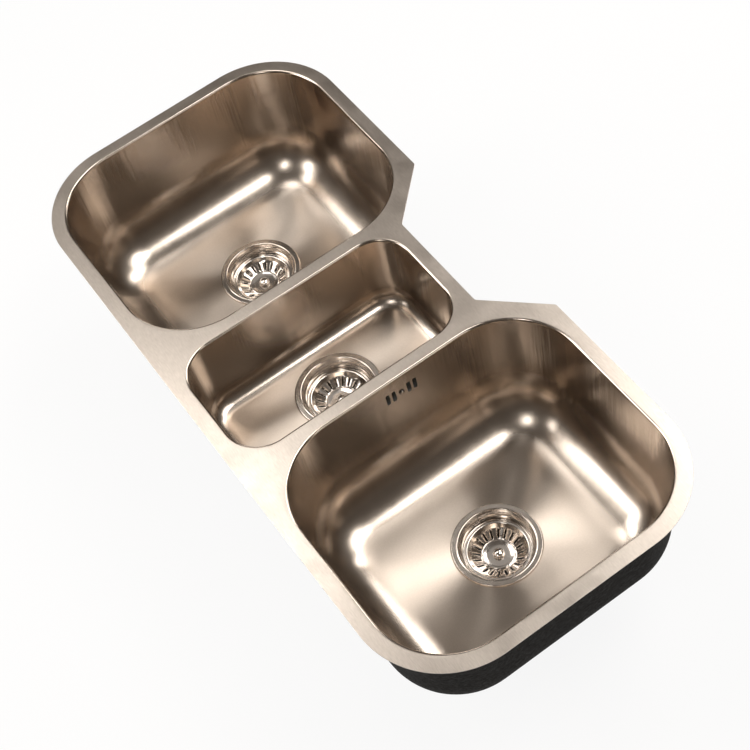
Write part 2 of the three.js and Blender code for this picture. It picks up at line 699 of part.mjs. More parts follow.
// The right bowl's coat leaves a window where the overflow housing is clamped to the wall
function rightBowlCoat() {
  const half = HOUSING_WIDTH / 2 + WINDOW_IN_COAT_MARGIN;
  const cutter = block(
    wallFaceX - SHEET - COAT - CUT_OVERRUN,
    wallFaceX + CUT_OVERRUN,
    overflowY - half,
    overflowY + half,
    housingLow - WINDOW_IN_COAT_MARGIN,
    0,
  );
  return carved(coatShell(rightBowl), { cut: [cutter] });
}

// A seal that fills the wedge between the sloping wall and the upright housing
function overflowSeal() {
  const loop = (margin, xAt) => {
    const y = HOUSING_WIDTH / 2 - margin;
    const z = HOUSING_HEIGHT / 2 - margin;
    const corners = [[-y, z], [-y, -z], [y, -z], [y, z]];
    return corners.map(
      ([dy, dz]) => new THREE.Vector3(xAt(overflowZ + dz), overflowY + dy, overflowZ + dz),
    );
  };
  const front = (z) => wallBackX(z);
  const back = () => sealBackX;
  const rim = OVERFLOW_SEAL_RIM;
  return bodyOverLoops([loop(0, front), loop(rim, front), loop(rim, back), loop(0, back)]);
}

function overflowHousing() {
  const half = HOUSING_WIDTH / 2;
  const inner = half - HOUSING_WALL;
  const shell = block(
    housingBackX, housingFrontX, overflowY - half, overflowY + half, housingLow, housingTop,
  );
  const hollow = block(
    housingBackX + HOUSING_WALL,
    housingFrontX + CUT_OVERRUN,
    overflowY - inner,
    overflowY + inner,
    housingLow + HOUSING_WALL,
    housingTop - HOUSING_WALL,
  );
  const bossFrom = housingBackX + HOUSING_WALL / 2;
  const boss = barAlongX(
    BOSS_RADIUS, bossFrom, housingFrontX, overflowY, overflowZ, OVERFLOW_STEPS,
  );
  const spigot = barAlongZ(
    spigotRadius,
    housingLow - SPIGOT_LENGTH,
    housingLow + HOUSING_WALL / 2,
    pipeX,
    overflowY,
    OVERFLOW_STEPS,
  );
  const screwBore = barAlongX(
    OVERFLOW_SCREW_RADIUS + BORE_GAP,
    housingBackX + HOUSING_WALL,
    housingFrontX + CUT_OVERRUN,
    overflowY,
    overflowZ,
    OVERFLOW_STEPS,
  );
  const spigotBore = barAlongZ(
    spigotBoreRadius,
    housingLow - SPIGOT_LENGTH - CUT_OVERRUN,
    housingLow + HOUSING_WALL + CUT_OVERRUN,
    pipeX,
    overflowY,
    OVERFLOW_STEPS,
  );
  const solid = solidFrom(shell)
    .subtract(solidFrom(hollow))
    .add(solidFrom(boss))
    .add(solidFrom(spigot))
    .subtract(solidFrom(screwBore))
    .subtract(solidFrom(spigotBore));
  return geometryFrom(solid);
}

function overflowScrew() {
  const headLow = wallFaceX + REST_GAP;
  const end = housingBackX + HOUSING_WALL + BORE_GAP;
  const length = headLow - end;
  const outline = [
    [0, OVERFLOW_SCREW_HEAD],
    [OVERFLOW_SCREW_HEAD_RADIUS / 2, OVERFLOW_SCREW_HEAD],
    [OVERFLOW_SCREW_HEAD_RADIUS, OVERFLOW_SCREW_HEAD / 2],
    [OVERFLOW_SCREW_HEAD_RADIUS, 0],
    [OVERFLOW_SCREW_RADIUS, 0],
    [OVERFLOW_SCREW_RADIUS, -length],
    [0, -length],
  ];
  const screw = turned(outline, SCREW_STEPS);
  return screw.rotateY(QUARTER_TURN).translate(headLow, overflowY, overflowZ);
}

// The pipe's line: down from the housing, round a quarter bend, and along to the waste body
class PipeLine extends THREE.Curve {
  getPoint(share, target = new THREE.Vector3()) {
    const top = housingLow - REST_GAP;
    const bendTop = inletZ + PIPE_BEND;
    const down = top - bendTop;
    const bend = PIPE_BEND * QUARTER_TURN;
    const bodySide = rightBowl.drainX - bodyCupRadius - BODY_WALL - INLET_SHOULDER;
    const along = bodySide - pipeX - PIPE_BEND;
    const travelled = share * (down + bend + along);
    if (travelled < down) return target.set(pipeX, overflowY, top - travelled);
    const angle = Math.min(travelled - down, bend) / PIPE_BEND;
    const extra = Math.max(travelled - down - bend, 0);
    const x = pipeX + PIPE_BEND * (1 - Math.cos(angle)) + extra;
    return target.set(x, overflowY, bendTop - PIPE_BEND * Math.sin(angle));
  }
}

function overflowPipe() {
  const circle = (radius) =>
    Array.from({ length: PIPE_SIDES }, (_, side) => {
      const angle = (side / PIPE_SIDES) * FULL_TURN;
      return new THREE.Vector2(radius * Math.cos(angle), radius * Math.sin(angle));
    });
  const section = new THREE.Shape(circle(pipeRadius));
  section.holes.push(new THREE.Path(circle(pipeBoreRadius).reverse()));
  return new THREE.ExtrudeGeometry(section, { steps: PIPE_STEPS, extrudePath: new PipeLine() });
}

// The sink
const sink = new THREE.Group();

function place(name, geometry, material, parent = sink) {
  const mesh = new THREE.Mesh(geometry, material);
  mesh.name = name;
  parent.add(mesh);
}

place("deck_plate", deckPlate(), brushedSteel);
place("left_bowl", bowlShell(leftBowl), brushedSteel);
place("middle_bowl", bowlShell(middleBowl), brushedSteel);
place("right_bowl", rightBowlShell(), brushedSteel);
place("left_bowl_coat", coatShell(leftBowl), deadeningCoat);
place("middle_bowl_coat", coatShell(middleBowl), deadeningCoat);
place("right_bowl_coat", rightBowlCoat(), deadeningCoat);

for (const [side, bowl] of Object.entries(bowls)) {
  const waste = new THREE.Group();
  waste.position.set(bowl.drainX, bowl.drainY, -bowl.depth);
  sink.add(waste);
  place(`${side}_waste_flange`, wasteFlange(), polishedSteel, waste);
  place(`${side}_rim_seal`, rimSeal(), blackRubber, waste);
  place(`${side}_clamp_seal`, clampSeal(), blackRubber, waste);
  place(`${side}_waste_body`, wasteBody(bowl === rightBowl), greyPlastic, waste);
  place(`${side}_centre_screw`, centreScrew(), screwSteel, waste);
  place(`${side}_strainer_basket`, strainerBasket(), polishedSteel, waste);
  place(`${side}_lift_knob`, liftKnob(), polishedSteel, waste);
  place(`${side}_stopper_seal`, stopperSeal(), blackRubber, waste);
}

place("overflow_screw", overflowScrew(), screwSteel);
place("overflow_seal", overflowSeal(), blackRubber);
place("overflow_housing", overflowHousing(), greyPlastic);
place("overflow_pipe", overflowPipe(), greyPlastic);

export default sink;
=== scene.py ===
# An undermount sink of stainless steel sheet: two large bowls and a small one in one deck, each
# with a basket strainer waste, and an overflow in the right bowl. Lengths are in millimetres
# until shown() and tool() turn them into metres. The third number of an outline's corner is its
# rounding.
import math

import bmesh
import bpy
from mathutils import Matrix, Vector
from mathutils.geometry import tessellate_polygon


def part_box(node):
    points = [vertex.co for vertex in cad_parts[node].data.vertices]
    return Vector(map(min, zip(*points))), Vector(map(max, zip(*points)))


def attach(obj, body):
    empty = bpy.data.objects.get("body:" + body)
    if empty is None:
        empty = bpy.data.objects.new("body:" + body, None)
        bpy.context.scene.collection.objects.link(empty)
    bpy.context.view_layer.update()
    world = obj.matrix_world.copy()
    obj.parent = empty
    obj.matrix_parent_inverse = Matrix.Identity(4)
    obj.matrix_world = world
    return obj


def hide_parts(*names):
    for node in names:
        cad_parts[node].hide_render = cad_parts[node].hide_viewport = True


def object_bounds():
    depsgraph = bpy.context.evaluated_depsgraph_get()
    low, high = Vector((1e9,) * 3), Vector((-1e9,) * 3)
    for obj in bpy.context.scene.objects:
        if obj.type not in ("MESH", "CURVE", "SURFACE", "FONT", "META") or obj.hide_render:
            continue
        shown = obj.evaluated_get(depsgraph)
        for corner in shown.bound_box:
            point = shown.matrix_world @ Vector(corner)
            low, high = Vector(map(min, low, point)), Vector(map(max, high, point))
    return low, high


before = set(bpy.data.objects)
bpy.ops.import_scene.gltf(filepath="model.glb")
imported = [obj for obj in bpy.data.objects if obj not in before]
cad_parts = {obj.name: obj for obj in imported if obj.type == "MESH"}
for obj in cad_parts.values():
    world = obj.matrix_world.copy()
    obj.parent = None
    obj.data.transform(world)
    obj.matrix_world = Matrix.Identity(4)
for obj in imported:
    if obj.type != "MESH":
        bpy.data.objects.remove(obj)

cad_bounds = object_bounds()

MM = 0.001
QUARTER = math.pi / 2
TURN = 2 * math.pi
SHARP_ANGLE = math.radians(38)  # edges sharper than this stay crisp
SAME_POINT = 0.0005  # points closer than this are one
SOFT_STEPS = 3  # along a softened corner
SOFT_SHARE = 0.45  # how much of an edge one softened corner may take

# Sheet and clearances
SHEET = 1.0
REST_GAP = 0.3  # between two pieces that touch
CUT_OVERRUN = 2.0  # how far a cutter passes the face it cuts

# Roundings of the turned pieces' edges and bends, from sharp to wide
BROKEN_EDGE = 0.2
CRISP_EDGE = 0.3
KEEN_EDGE = 0.4
FINE_EDGE = 0.5
EASED_EDGE = 0.6
SOFT_EDGE = 0.8
ROUND_EDGE = 1.0
TIGHT_BEND = 1.2
CLOSE_BEND = 1.5
SEAT_BEND = 1.6
BEND = 2.0
OPEN_BEND = 2.5
WIDE_BEND = 3.0
CUP_BEND = 4.0

# Deck plate
DECK_CORNER = 116.0
DECK_CORNER_STEPS = 48
NOTCH_FROM_LEFT_BOWL = 29.0
NOTCH_FROM_RIGHT_BOWL = 30.5
NOTCH_SLANT = 71.0
NOTCH_ROUND = 2.5  # where the notch's edges meet
DECK_EDGE_ROUND = 0.3
DECK_EDGE_STEPS = 4

# Bowls
EDGE_ROLL = 3.5
EDGE_LIP = 3.0  # flat margin outside the rolled edge
WALL_DRAFT = math.radians(2)
BIG_CORNER = 98.0
BIG_FILLET = 75.0
BIG_DISH = 2.0  # how far the floor falls to the waste
SMALL_CORNER = 48.0
SMALL_FILLET = 24.0
SMALL_DISH = 0.8
CORNER_STEPS = 24
SIDE_STEPS = 12
ROLL_STEPS = 8
WALL_STEPS = 8
FILLET_STEPS = 20
FLOOR_STEPS = 12

# Sound-deadening coat
COAT = 1.7
COAT_BELOW_DECK = 6.0
COAT_CLEARANCE = 3.0  # round a waste's clamp

# Wastes: radii, and heights and depths from the bowl's floor
RIM_RADIUS = 58.5
RIM_HEIGHT = 2.5
RIM_BEVEL = 1.3
RIM_LIP_RADIUS = 49.6
BEAD_HEIGHT = 0.3  # of the pressed bead on the rim's inner edge
BEAD_WIDTH = 1.3
HOLE_RADIUS = 49.8  # in the bowl's floor
THROAT_RADIUS = 45.6
THROAT_DEPTH = 4.0
SEAT_RADIUS = 44.0
SEAT_DEPTH = 15.0
CUP_RADIUS = 39.2
CUP_BOTTOM_RADIUS = 37.5
CUP_DEPTH = 36.0
HUB_RADIUS = 10.5
HUB_FLOOR_RADIUS = 9.5
HUB_DEPTH = 4.0
WINDOW_INNER_RADIUS = 13.5
WINDOW_OUTER_RADIUS = 28.0
WINDOW_COUNT = 4
WINDOW_SPOKE = 6.0  # width of the spokes between them
WINDOW_ROUND = 1.2
WINDOW_STEPS = 16
RIM_SEAL_RADII = (51.0, 55.0)
RIM_SEAL_ROUND = 0.2
CLAMP_SEAL = 3.0
CLAMP_SEAL_RADII = (50.8, 57.0)
CLAMP_SEAL_ROUND = 0.6
TURNED_STEPS = 96
SMALL_TURNED_STEPS = 48  # round a knob or the overflow screw

# Plastic waste body
BODY_WALL = 2.5
BODY_FLANGE = 5.0
CLAMP_RADIUS = 57.0
NECK_RADIUS = 48.2
NECK_DEPTH = 20.0
BODY_CUP_RADIUS = 41.5
BODY_CUP_DEPTH = 46.0
BODY_CONE = 5.0  # from the neck in to the cup
BODY_FUNNEL = 10.0  # from the cup in to the outlet
OUTLET_RADIUS = 20.5
THREAD_ROOT_RADIUS = 22.6
THREAD_CREST_RADIUS = 23.9
THREAD_PITCH = 3.0
THREAD_POINTS = 8  # along one pitch
THREAD_STEEPNESS = 1.4  # above 1, a flat root lies between the crests
THREAD_BELOW_FUNNEL = 1.0
OUTLET_LENGTH = 30.0
WEB_THICKNESS = 4.0
WEB_HEIGHT = 10.0
WEB_HUB_RADIUS = 7.0

# Screws
SCREW_RADIUS = 2.9
SCREW_HEAD_RADIUS = 7.5
SCREW_HEAD = 3.2
SCREW_SLOT_WIDTH = 1.6
SOCKET_DEPTH = 2.4
SCREW_SHORT_OF_WEB = 2.0
BORE_GAP = 0.4

# Strainer basket
BASKET_SHEET = 0.8
BASKET_LIP_RADIUS = 41.8
BASKET_LIP = 3.2
SHOULDER_RADIUS = 34.8
SHOULDER_DROP = 3.8
FOOT_RADIUS = 21.4  # of the cone
FOOT_DROP = 12.8
DISC_RADIUS = 20.4
DISC_RISE = 1.2
DISC_RIM = 0.9  # how far the disc's edge stands above its dished middle
DISC_RIM_WIDTH = 1.4
DISC_SLOPE_WIDTH = 5.5  # from the disc's edge to the foot of the slope inside its rim
DISC_FLAT_WIDTH = 2.0  # round the knob's neck
SLOT_COUNT = 20
SLOT_WIDTH = 2.3
SLOT_END_MARGIN = 1.1
SLOT_POWERS = (0.5, 0.7)  # of a superellipse with straight sides and round ends
SLOT_ROLL = 0.9  # how far the pressed edges of a slot turn down
# Shares of the way in to the slot and of the roll
SLOT_EDGE = ((0, 0), (0.35, 0.03), (0.65, 0.1), (0.83, 0.26), (0.94, 0.55), (1, 1))
SECTOR_STEPS = 6  # round the basket, from one slot to the next
SECTOR_SIDE_STEPS = 8  # down the cone

# Knob and stopper
KNOB_RADIUS = 7.4
KNOB_NECK_RADIUS = 4.6
KNOB_NECK = 2.0
KNOB_DOME = 4.6
KNOB_DOME_STEPS = 8
KNOB_TUCK = 0.4  # how far the dome's edge turns in on its way down
KNOB_EDGE = 0.5  # height of that edge
KNOB_UNDERSIDE = 0.8  # from the dome's foot down to where the neck starts
KNOB_FLARE = 0.6  # height of the neck's flared foot
KNOB_FLARE_WIDTH = 1.0
KNOB_GAP = 0.1  # between the knob's foot and the disc
STEM_RADIUS = 3.0
STEM_TIP_GAP = 0.4
STOPPER_RADIUS = 30.5
STOPPER_EDGE_RADIUS = 29.0
STOPPER_THICKNESS = 2.2
STOPPER_HUB_RADIUS = 8.0
STOPPER_WEDGE = 1.0  # height of the slope round the hub
STOPPER_WEDGE_WIDTH = 3.0

# Overflow
OVERFLOW_DEPTH = 32.0
OVERFLOW_SLOT = (5.5, 20.0)
OVERFLOW_SLOT_OFFSETS = (11.0, 20.0)
OVERFLOW_SLOT_STEPS = 12  # round each end of a slot
OVERFLOW_SCREW_RADIUS = 2.0
OVERFLOW_HEAD_RADIUS = 3.6
OVERFLOW_HEAD = 2.2
OVERFLOW_COLLAR = 0.9  # height of the collar round the head's dome, coloured black as painted shade ringing the head
OVERFLOW_COLLAR_BEVEL = 0.2
OVERFLOW_DOME_RADIUS = 2.7
OVERFLOW_DOME_STEPS = 9
CROSS_WIDTH = 0.7
CROSS_REACH = 1.1  # from the screw's middle to the end of an arm
OVERFLOW_SEAL_WIDTH = 4.0  # of the ring between wall and housing
OVERFLOW_SEAL_ROUND = 2.0
HOUSING_WALL = 1.8
HOUSING_ROUND = 2.5
PLATE_CORNER_STEPS = 6
BOSS_RADIUS = 4.4
PIPE_WALL = 1.5
PIPE_BEND = 45.0
PIPE_BEND_STEPS = 24
PIPE_STEPS = 8  # above the bend
SPIGOT_WALL = 1.3
SPIGOT_LENGTH = 16.0
INLET_DEPTH = 33.0
INLET_SHOULDER = 1.5
COAT_WINDOW_MARGIN = 4.0
TUBE_SIDES = 32

# Patterns of the finishes
BRUSH_LINE_LENGTH = 9.0
BRUSH_LINE_WIDTH = 1.4
BRUSH_DEPTH = 0.005
BRUSH_CLOUD = 45.0
DRAW_MARK_LENGTH = 250.0
DRAW_MARK_WIDTH = 9.0
DRAW_MARK_DEPTH = 0.45
SATIN_CLOUD = 40.0
SATIN_GRAIN = 2.0
GRAIN_SHARE = 0.002  # of the draw marks' depth
FLOOR_GRAIN_DEPTH = 0.001
PLASTIC_GLOW = 1.5  # how far light goes into the plastic
FLOOR_FACING = 0.93  # how far up the fillet's end faces, as the z of its normal


def box(node_name):
    """Lowest and highest corner of a CAD node, in millimetres."""
    low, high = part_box(node_name)
    return low / MM, high / MM


# Mesh helpers
pieces = []


def polar(radius, angle, z=0):
    """The point at a radius and an angle from +X, at a height."""
    return Vector((radius * math.cos(angle), radius * math.sin(angle), z))


def raised(z):
    """A step straight up."""
    return Vector((0, 0, z))


def turns(start, span, steps):
    """Angles from a start over a span, in equal steps."""
    return [start + step / steps * span for step in range(steps + 1)]


def corner_centres(low, high, radius):
    """Centres of a rectangle's round corners, from the back right and anticlockwise."""
    left, right, front, back = low.x + radius, high.x - radius, low.y + radius, high.y - radius
    return [(right, back), (left, back), (left, front), (right, front)]


def added(name, data):
    """A new object in the scene."""
    made = bpy.data.objects.new(name, data)
    bpy.context.collection.objects.link(made)
    return made


def shown(name, form, materials, nodes, body="root", centre=None, faces_material=None):
    """A piece of the sink, from its points and faces, that stands for nodes of the solid part.

    The centre becomes the piece's origin, round which a polish runs."""
    points, faces = form
    centre = centre or raised(0)
    mesh = bpy.data.meshes.new(name)
    mesh.from_pydata([(point - centre) * MM for point in points], [], faces)
    for material in materials:
        mesh.materials.append(material)
    if faces_material:
        mesh.polygons.foreach_set("material_index", faces_material)
    piece = added(name, mesh)
    piece.location = centre * MM
    tidy(mesh)
    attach(piece, body)
    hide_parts(*nodes)
    pieces.append(piece)
    return piece


def tidy(mesh):
    """Merges double points, turns the faces outwards, and smooths all but the sharp edges."""
    work = bmesh.new()
    work.from_mesh(mesh)
    bmesh.ops.remove_doubles(work, verts=work.verts, dist=SAME_POINT * MM)
    bmesh.ops.recalc_face_normals(work, faces=work.faces)
    work.to_mesh(mesh)
    work.free()
    mesh.shade_smooth()
    mesh.set_sharp_from_angle(angle=SHARP_ANGLE)


def tool(form):
    """A hidden solid, from its points and faces, that cuts a piece or is joined to it."""
    points, faces = form
    mesh = bpy.data.meshes.new("tool")
    mesh.from_pydata([point * MM for point in points], [], faces)
    tidy(mesh)
    return added("tool", mesh)


def combined(piece, operation, tools):
    """Cuts the tools out of a piece, or joins them to it, and removes them."""
    for other in tools:
        step = piece.modifiers.new("step", "BOOLEAN")
        step.operation = operation
        step.solver = "EXACT"
        step.object = other
    settle(piece)
    tidy(piece.data)
    for other in tools:
        mesh = other.data
        bpy.data.objects.remove(other)
        bpy.data.meshes.remove(mesh)


def settle(piece):
    """Applies a piece's modifiers to its mesh."""
    bpy.context.view_layer.update()
    evaluated = piece.evaluated_get(bpy.context.evaluated_depsgraph_get())
    old = piece.data
    piece.data = bpy.data.meshes.new_from_object(evaluated)
    piece.modifiers.clear()
    bpy.data.meshes.remove(old)


def keep_flats_flat(piece):
    """Lets a piece's large faces set the shading, so that only its rounded edges look round."""
    weigh = piece.modifiers.new("weigh", "WEIGHTED_NORMAL")
    weigh.keep_sharp = True
    settle(piece)


def strips(loops, closed=False):
    """Four-sided faces between loops of as many points, and round again if the loops close."""
    count = len(loops[0])
    last = len(loops) if closed else len(loops) - 1
    faces = []
    for row in range(last):
        here, there = row * count, (row + 1) % len(loops) * count
        for k in range(count):
            k1 = (k + 1) % count
            faces.append((here + k, here + k1, there + k1, there + k))
    return [point for loop in loops for point in loop], faces


def softened(outline, closed, steps=SOFT_STEPS):
    """An outline of (radius, z, rounding) points with each corner replaced by a small curve."""
    count = len(outline)
    points = []
    for i, (x, y, rounding) in enumerate(outline):
        corner = Vector((x, y))
        at_end = not closed and i in (0, count - 1)
        if rounding == 0 or at_end:
            points.append(corner)
            continue
        before = Vector(outline[i - 1][:2]) - corner
        after = Vector(outline[(i + 1) % count][:2]) - corner
        start = corner + before * min(SOFT_SHARE, rounding / before.length)
        end = corner + after * min(SOFT_SHARE, rounding / after.length)
        for step in range(steps + 1):
            t = step / steps
            points.append((1 - t) ** 2 * start + 2 * t * (1 - t) * corner + t * t * end)
    return points


def turned(outline, centre, closed=True, steps=TURNED_STEPS, swell=None):
    """Points and faces of an outline of (radius, z, rounding) turned about an upright line."""
    profile = softened(outline, closed)
    if not closed:
        ends = [Vector((centre.x, centre.y, centre.z + profile[k].y)) for k in (0, -1)]
        profile = profile[1:-1]
    loops = []
    for radius, z in profile:
        loop = []
        for step in range(steps):
            angle = step / steps * TURN
            reach = radius + (swell(radius, z, angle) if swell else 0)
            loop.append(centre + polar(reach, angle, z))
        loops.append(loop)
    points, faces = strips(loops, closed)
    if not closed:
        first, last = len(points), len(points) + 1
        rim = (len(loops) - 1) * steps
        for k in range(steps):
            k1 = (k + 1) % steps
            faces.append((first, k1, k))
            faces.append((last, rim + k, rim + k1))
        points.extend(ends)
    return points, faces


def swept(path, outer, inner=None):
    """A round bar along points in a plane of constant y, with a bore if inner is given."""
    loops = []
    for radius in (outer, inner):
        if radius is None:
            continue
        rings = []
        for i, point in enumerate(path):
            ahead = path[min(i + 1, len(path) - 1)] - path[max(i - 1, 0)]
            side = Vector((0, 1, 0))
            up = ahead.normalized().cross(side)
            rings.append([
                point + radius * (math.cos(turn) * up + math.sin(turn) * side)
                for turn in (k / TUBE_SIDES * TURN for k in range(TUBE_SIDES))
            ])
        loops.extend(rings if radius == outer else reversed(rings))
    if inner is not None:
        return strips(loops, closed=True)
    points, faces = strips(loops)
    faces.append(tuple(range(TUBE_SIDES)))
    faces.append(tuple(range(len(points) - TUBE_SIDES, len(points))))
    return points, faces


def rod(start, end, radius):
    """A round tool between two points of the same y."""
    return tool(swept([start, end], radius))


def prism(outline, along, reach):
    """An outline of points pushed along a vector by a reach to each side."""
    count = len(outline)
    points = [point + along * side for side in (-reach, reach) for point in outline]
    faces = [(k, (k + 1) % count, count + (k + 1) % count, count + k) for k in range(count)]
    faces.append(tuple(range(count)))
    faces.append(tuple(range(count, 2 * count)))
    return points, faces


def cuboid(low, high):
    """A rectangular tool between two corners."""
    middle = (low[2] + high[2]) / 2
    corners = [(low[0], low[1]), (high[0], low[1]), (high[0], high[1]), (low[0], high[1])]
    outline = [Vector((x, y, middle)) for x, y in corners]
    return tool(prism(outline, raised(1), (high[2] - low[2]) / 2))


# Finishes
METAL = {"Metallic": 1.0}
OF_COLOURS = {"data_type": "RGBA"}
SMOOTH = {"interpolation_type": "SMOOTHSTEP"}
NOISE_LOW, NOISE_HIGH = 0.3, 0.7  # most of a noise lies between these


def colour(hex_code):
    """Linear colour from sRGB hex."""
    channels = [int(hex_code[k : k + 2], 16) / 255 for k in (1, 3, 5)]
    linear = [c / 12.92 if c <= 0.04045 else ((c + 0.055) / 1.055) ** 2.4 for c in channels]
    return (*linear, 1.0)


def node(tree, kind, settings=None, inputs=None):
    """Adds a node with its settings; an input is linked to a socket or set to a value."""
    made = tree.nodes.new("ShaderNode" + kind)
    for name, value in (settings or {}).items():
        setattr(made, name, value)
    for key, value in (inputs or {}).items():
        if isinstance(value, bpy.types.NodeSocket):
            tree.links.new(value, made.inputs[key])
        else:
            made.inputs[key].default_value = value
    return made


def finish(name):
    """A new material, its empty node tree, and the socket of a point's place on its piece."""
    material = bpy.data.materials.new(name)
    material.use_nodes = True
    tree = material.node_tree
    tree.nodes.clear()
    return material, tree, node(tree, "TexCoord").outputs["Object"]


def even_finish(name, tints, roughness, size, depth=None, detail=2.0, breakup=0.5, patch=None,
                others=METAL):
    """A finish whose fine pattern sets its relief and varies its roughness.

    Two tints vary with the pattern too, or with patches of their own. Sizes and the depth of
    the relief are in millimetres."""
    material, tree, place = finish(name)
    grain = node(tree, "TexNoise", inputs={
        "Vector": place, "Scale": 1 / (size * MM), "Detail": detail, "Roughness": breakup,
    })
    rough = node(tree, "MapRange", inputs={
        "Value": grain.outputs[0], 1: NOISE_LOW, 2: NOISE_HIGH, 3: roughness[0], 4: roughness[1],
    })
    inputs = {"Base Color": colour(tints[0]), "Roughness": rough.outputs[0], **others}
    if len(tints) > 1:
        cloud = grain
        if patch:
            cloud = node(tree, "TexNoise", inputs={
                "Vector": place, "Scale": 1 / (patch * MM), "Detail": 2.0, "Roughness": 0.5,
            })
        tint = node(tree, "Mix", OF_COLOURS, {
            0: cloud.outputs[0], 6: colour(tints[0]), 7: colour(tints[1]),
        })
        inputs["Base Color"] = tint.outputs[2]
    if depth:
        bump = node(tree, "Bump", inputs={
            "Strength": 1.0, "Distance": depth * MM, "Height": grain.outputs[0],
        })
        inputs["Normal"] = bump.outputs[0]
    shader = node(tree, "BsdfPrincipled", inputs=inputs)
    node(tree, "OutputMaterial", inputs={"Surface": shader.outputs[0]})
    return material


def line_brushed_stainless():
    """304 sheet, belt-brushed along the deck: a soft satin whose fine lines run left to right."""
    material, tree, place = finish("line_brushed_stainless")
    # Belt lines are 0.05 mm wide; they are drawn wider so that they show in the render
    along, across = 1 / (BRUSH_LINE_LENGTH * MM), 1 / (BRUSH_LINE_WIDTH * MM)
    stretched = node(tree, "Mapping", inputs={"Vector": place, "Scale": (along, across, across)})
    lines = node(tree, "TexNoise", inputs={
        "Vector": stretched.outputs[0], "Scale": 1.0, "Detail": 3.0, "Roughness": 0.65,
    })
    contrast = node(tree, "MapRange", inputs={
        "Value": lines.outputs[0], 1: NOISE_LOW, 2: NOISE_HIGH,
    })
    tint = node(tree, "Mix", OF_COLOURS, {
        0: contrast.outputs[0], 6: colour("#c6bdb4"), 7: colour("#d8cfc6"),
    })
    cloud = node(tree, "TexNoise", inputs={
        "Vector": place, "Scale": 1 / (BRUSH_CLOUD * MM), "Detail": 3.0, "Roughness": 0.6,
    })
    rough = node(tree, "MapRange", inputs={
        "Value": cloud.outputs[0], 1: NOISE_LOW, 2: NOISE_HIGH, 3: 0.28, 4: 0.36,
    })
    bump = node(tree, "Bump", inputs={
        "Strength": 1.0, "Distance": BRUSH_DEPTH * MM, "Height": lines.outputs[0],
    })
    shader = node(tree, "BsdfPrincipled", inputs={
        "Base Color": tint.outputs[2], "Roughness": rough.outputs[0],
        "Normal": bump.outputs[0], **METAL,
    })
    node(tree, "OutputMaterial", inputs={"Surface": shader.outputs[0]})
    return material


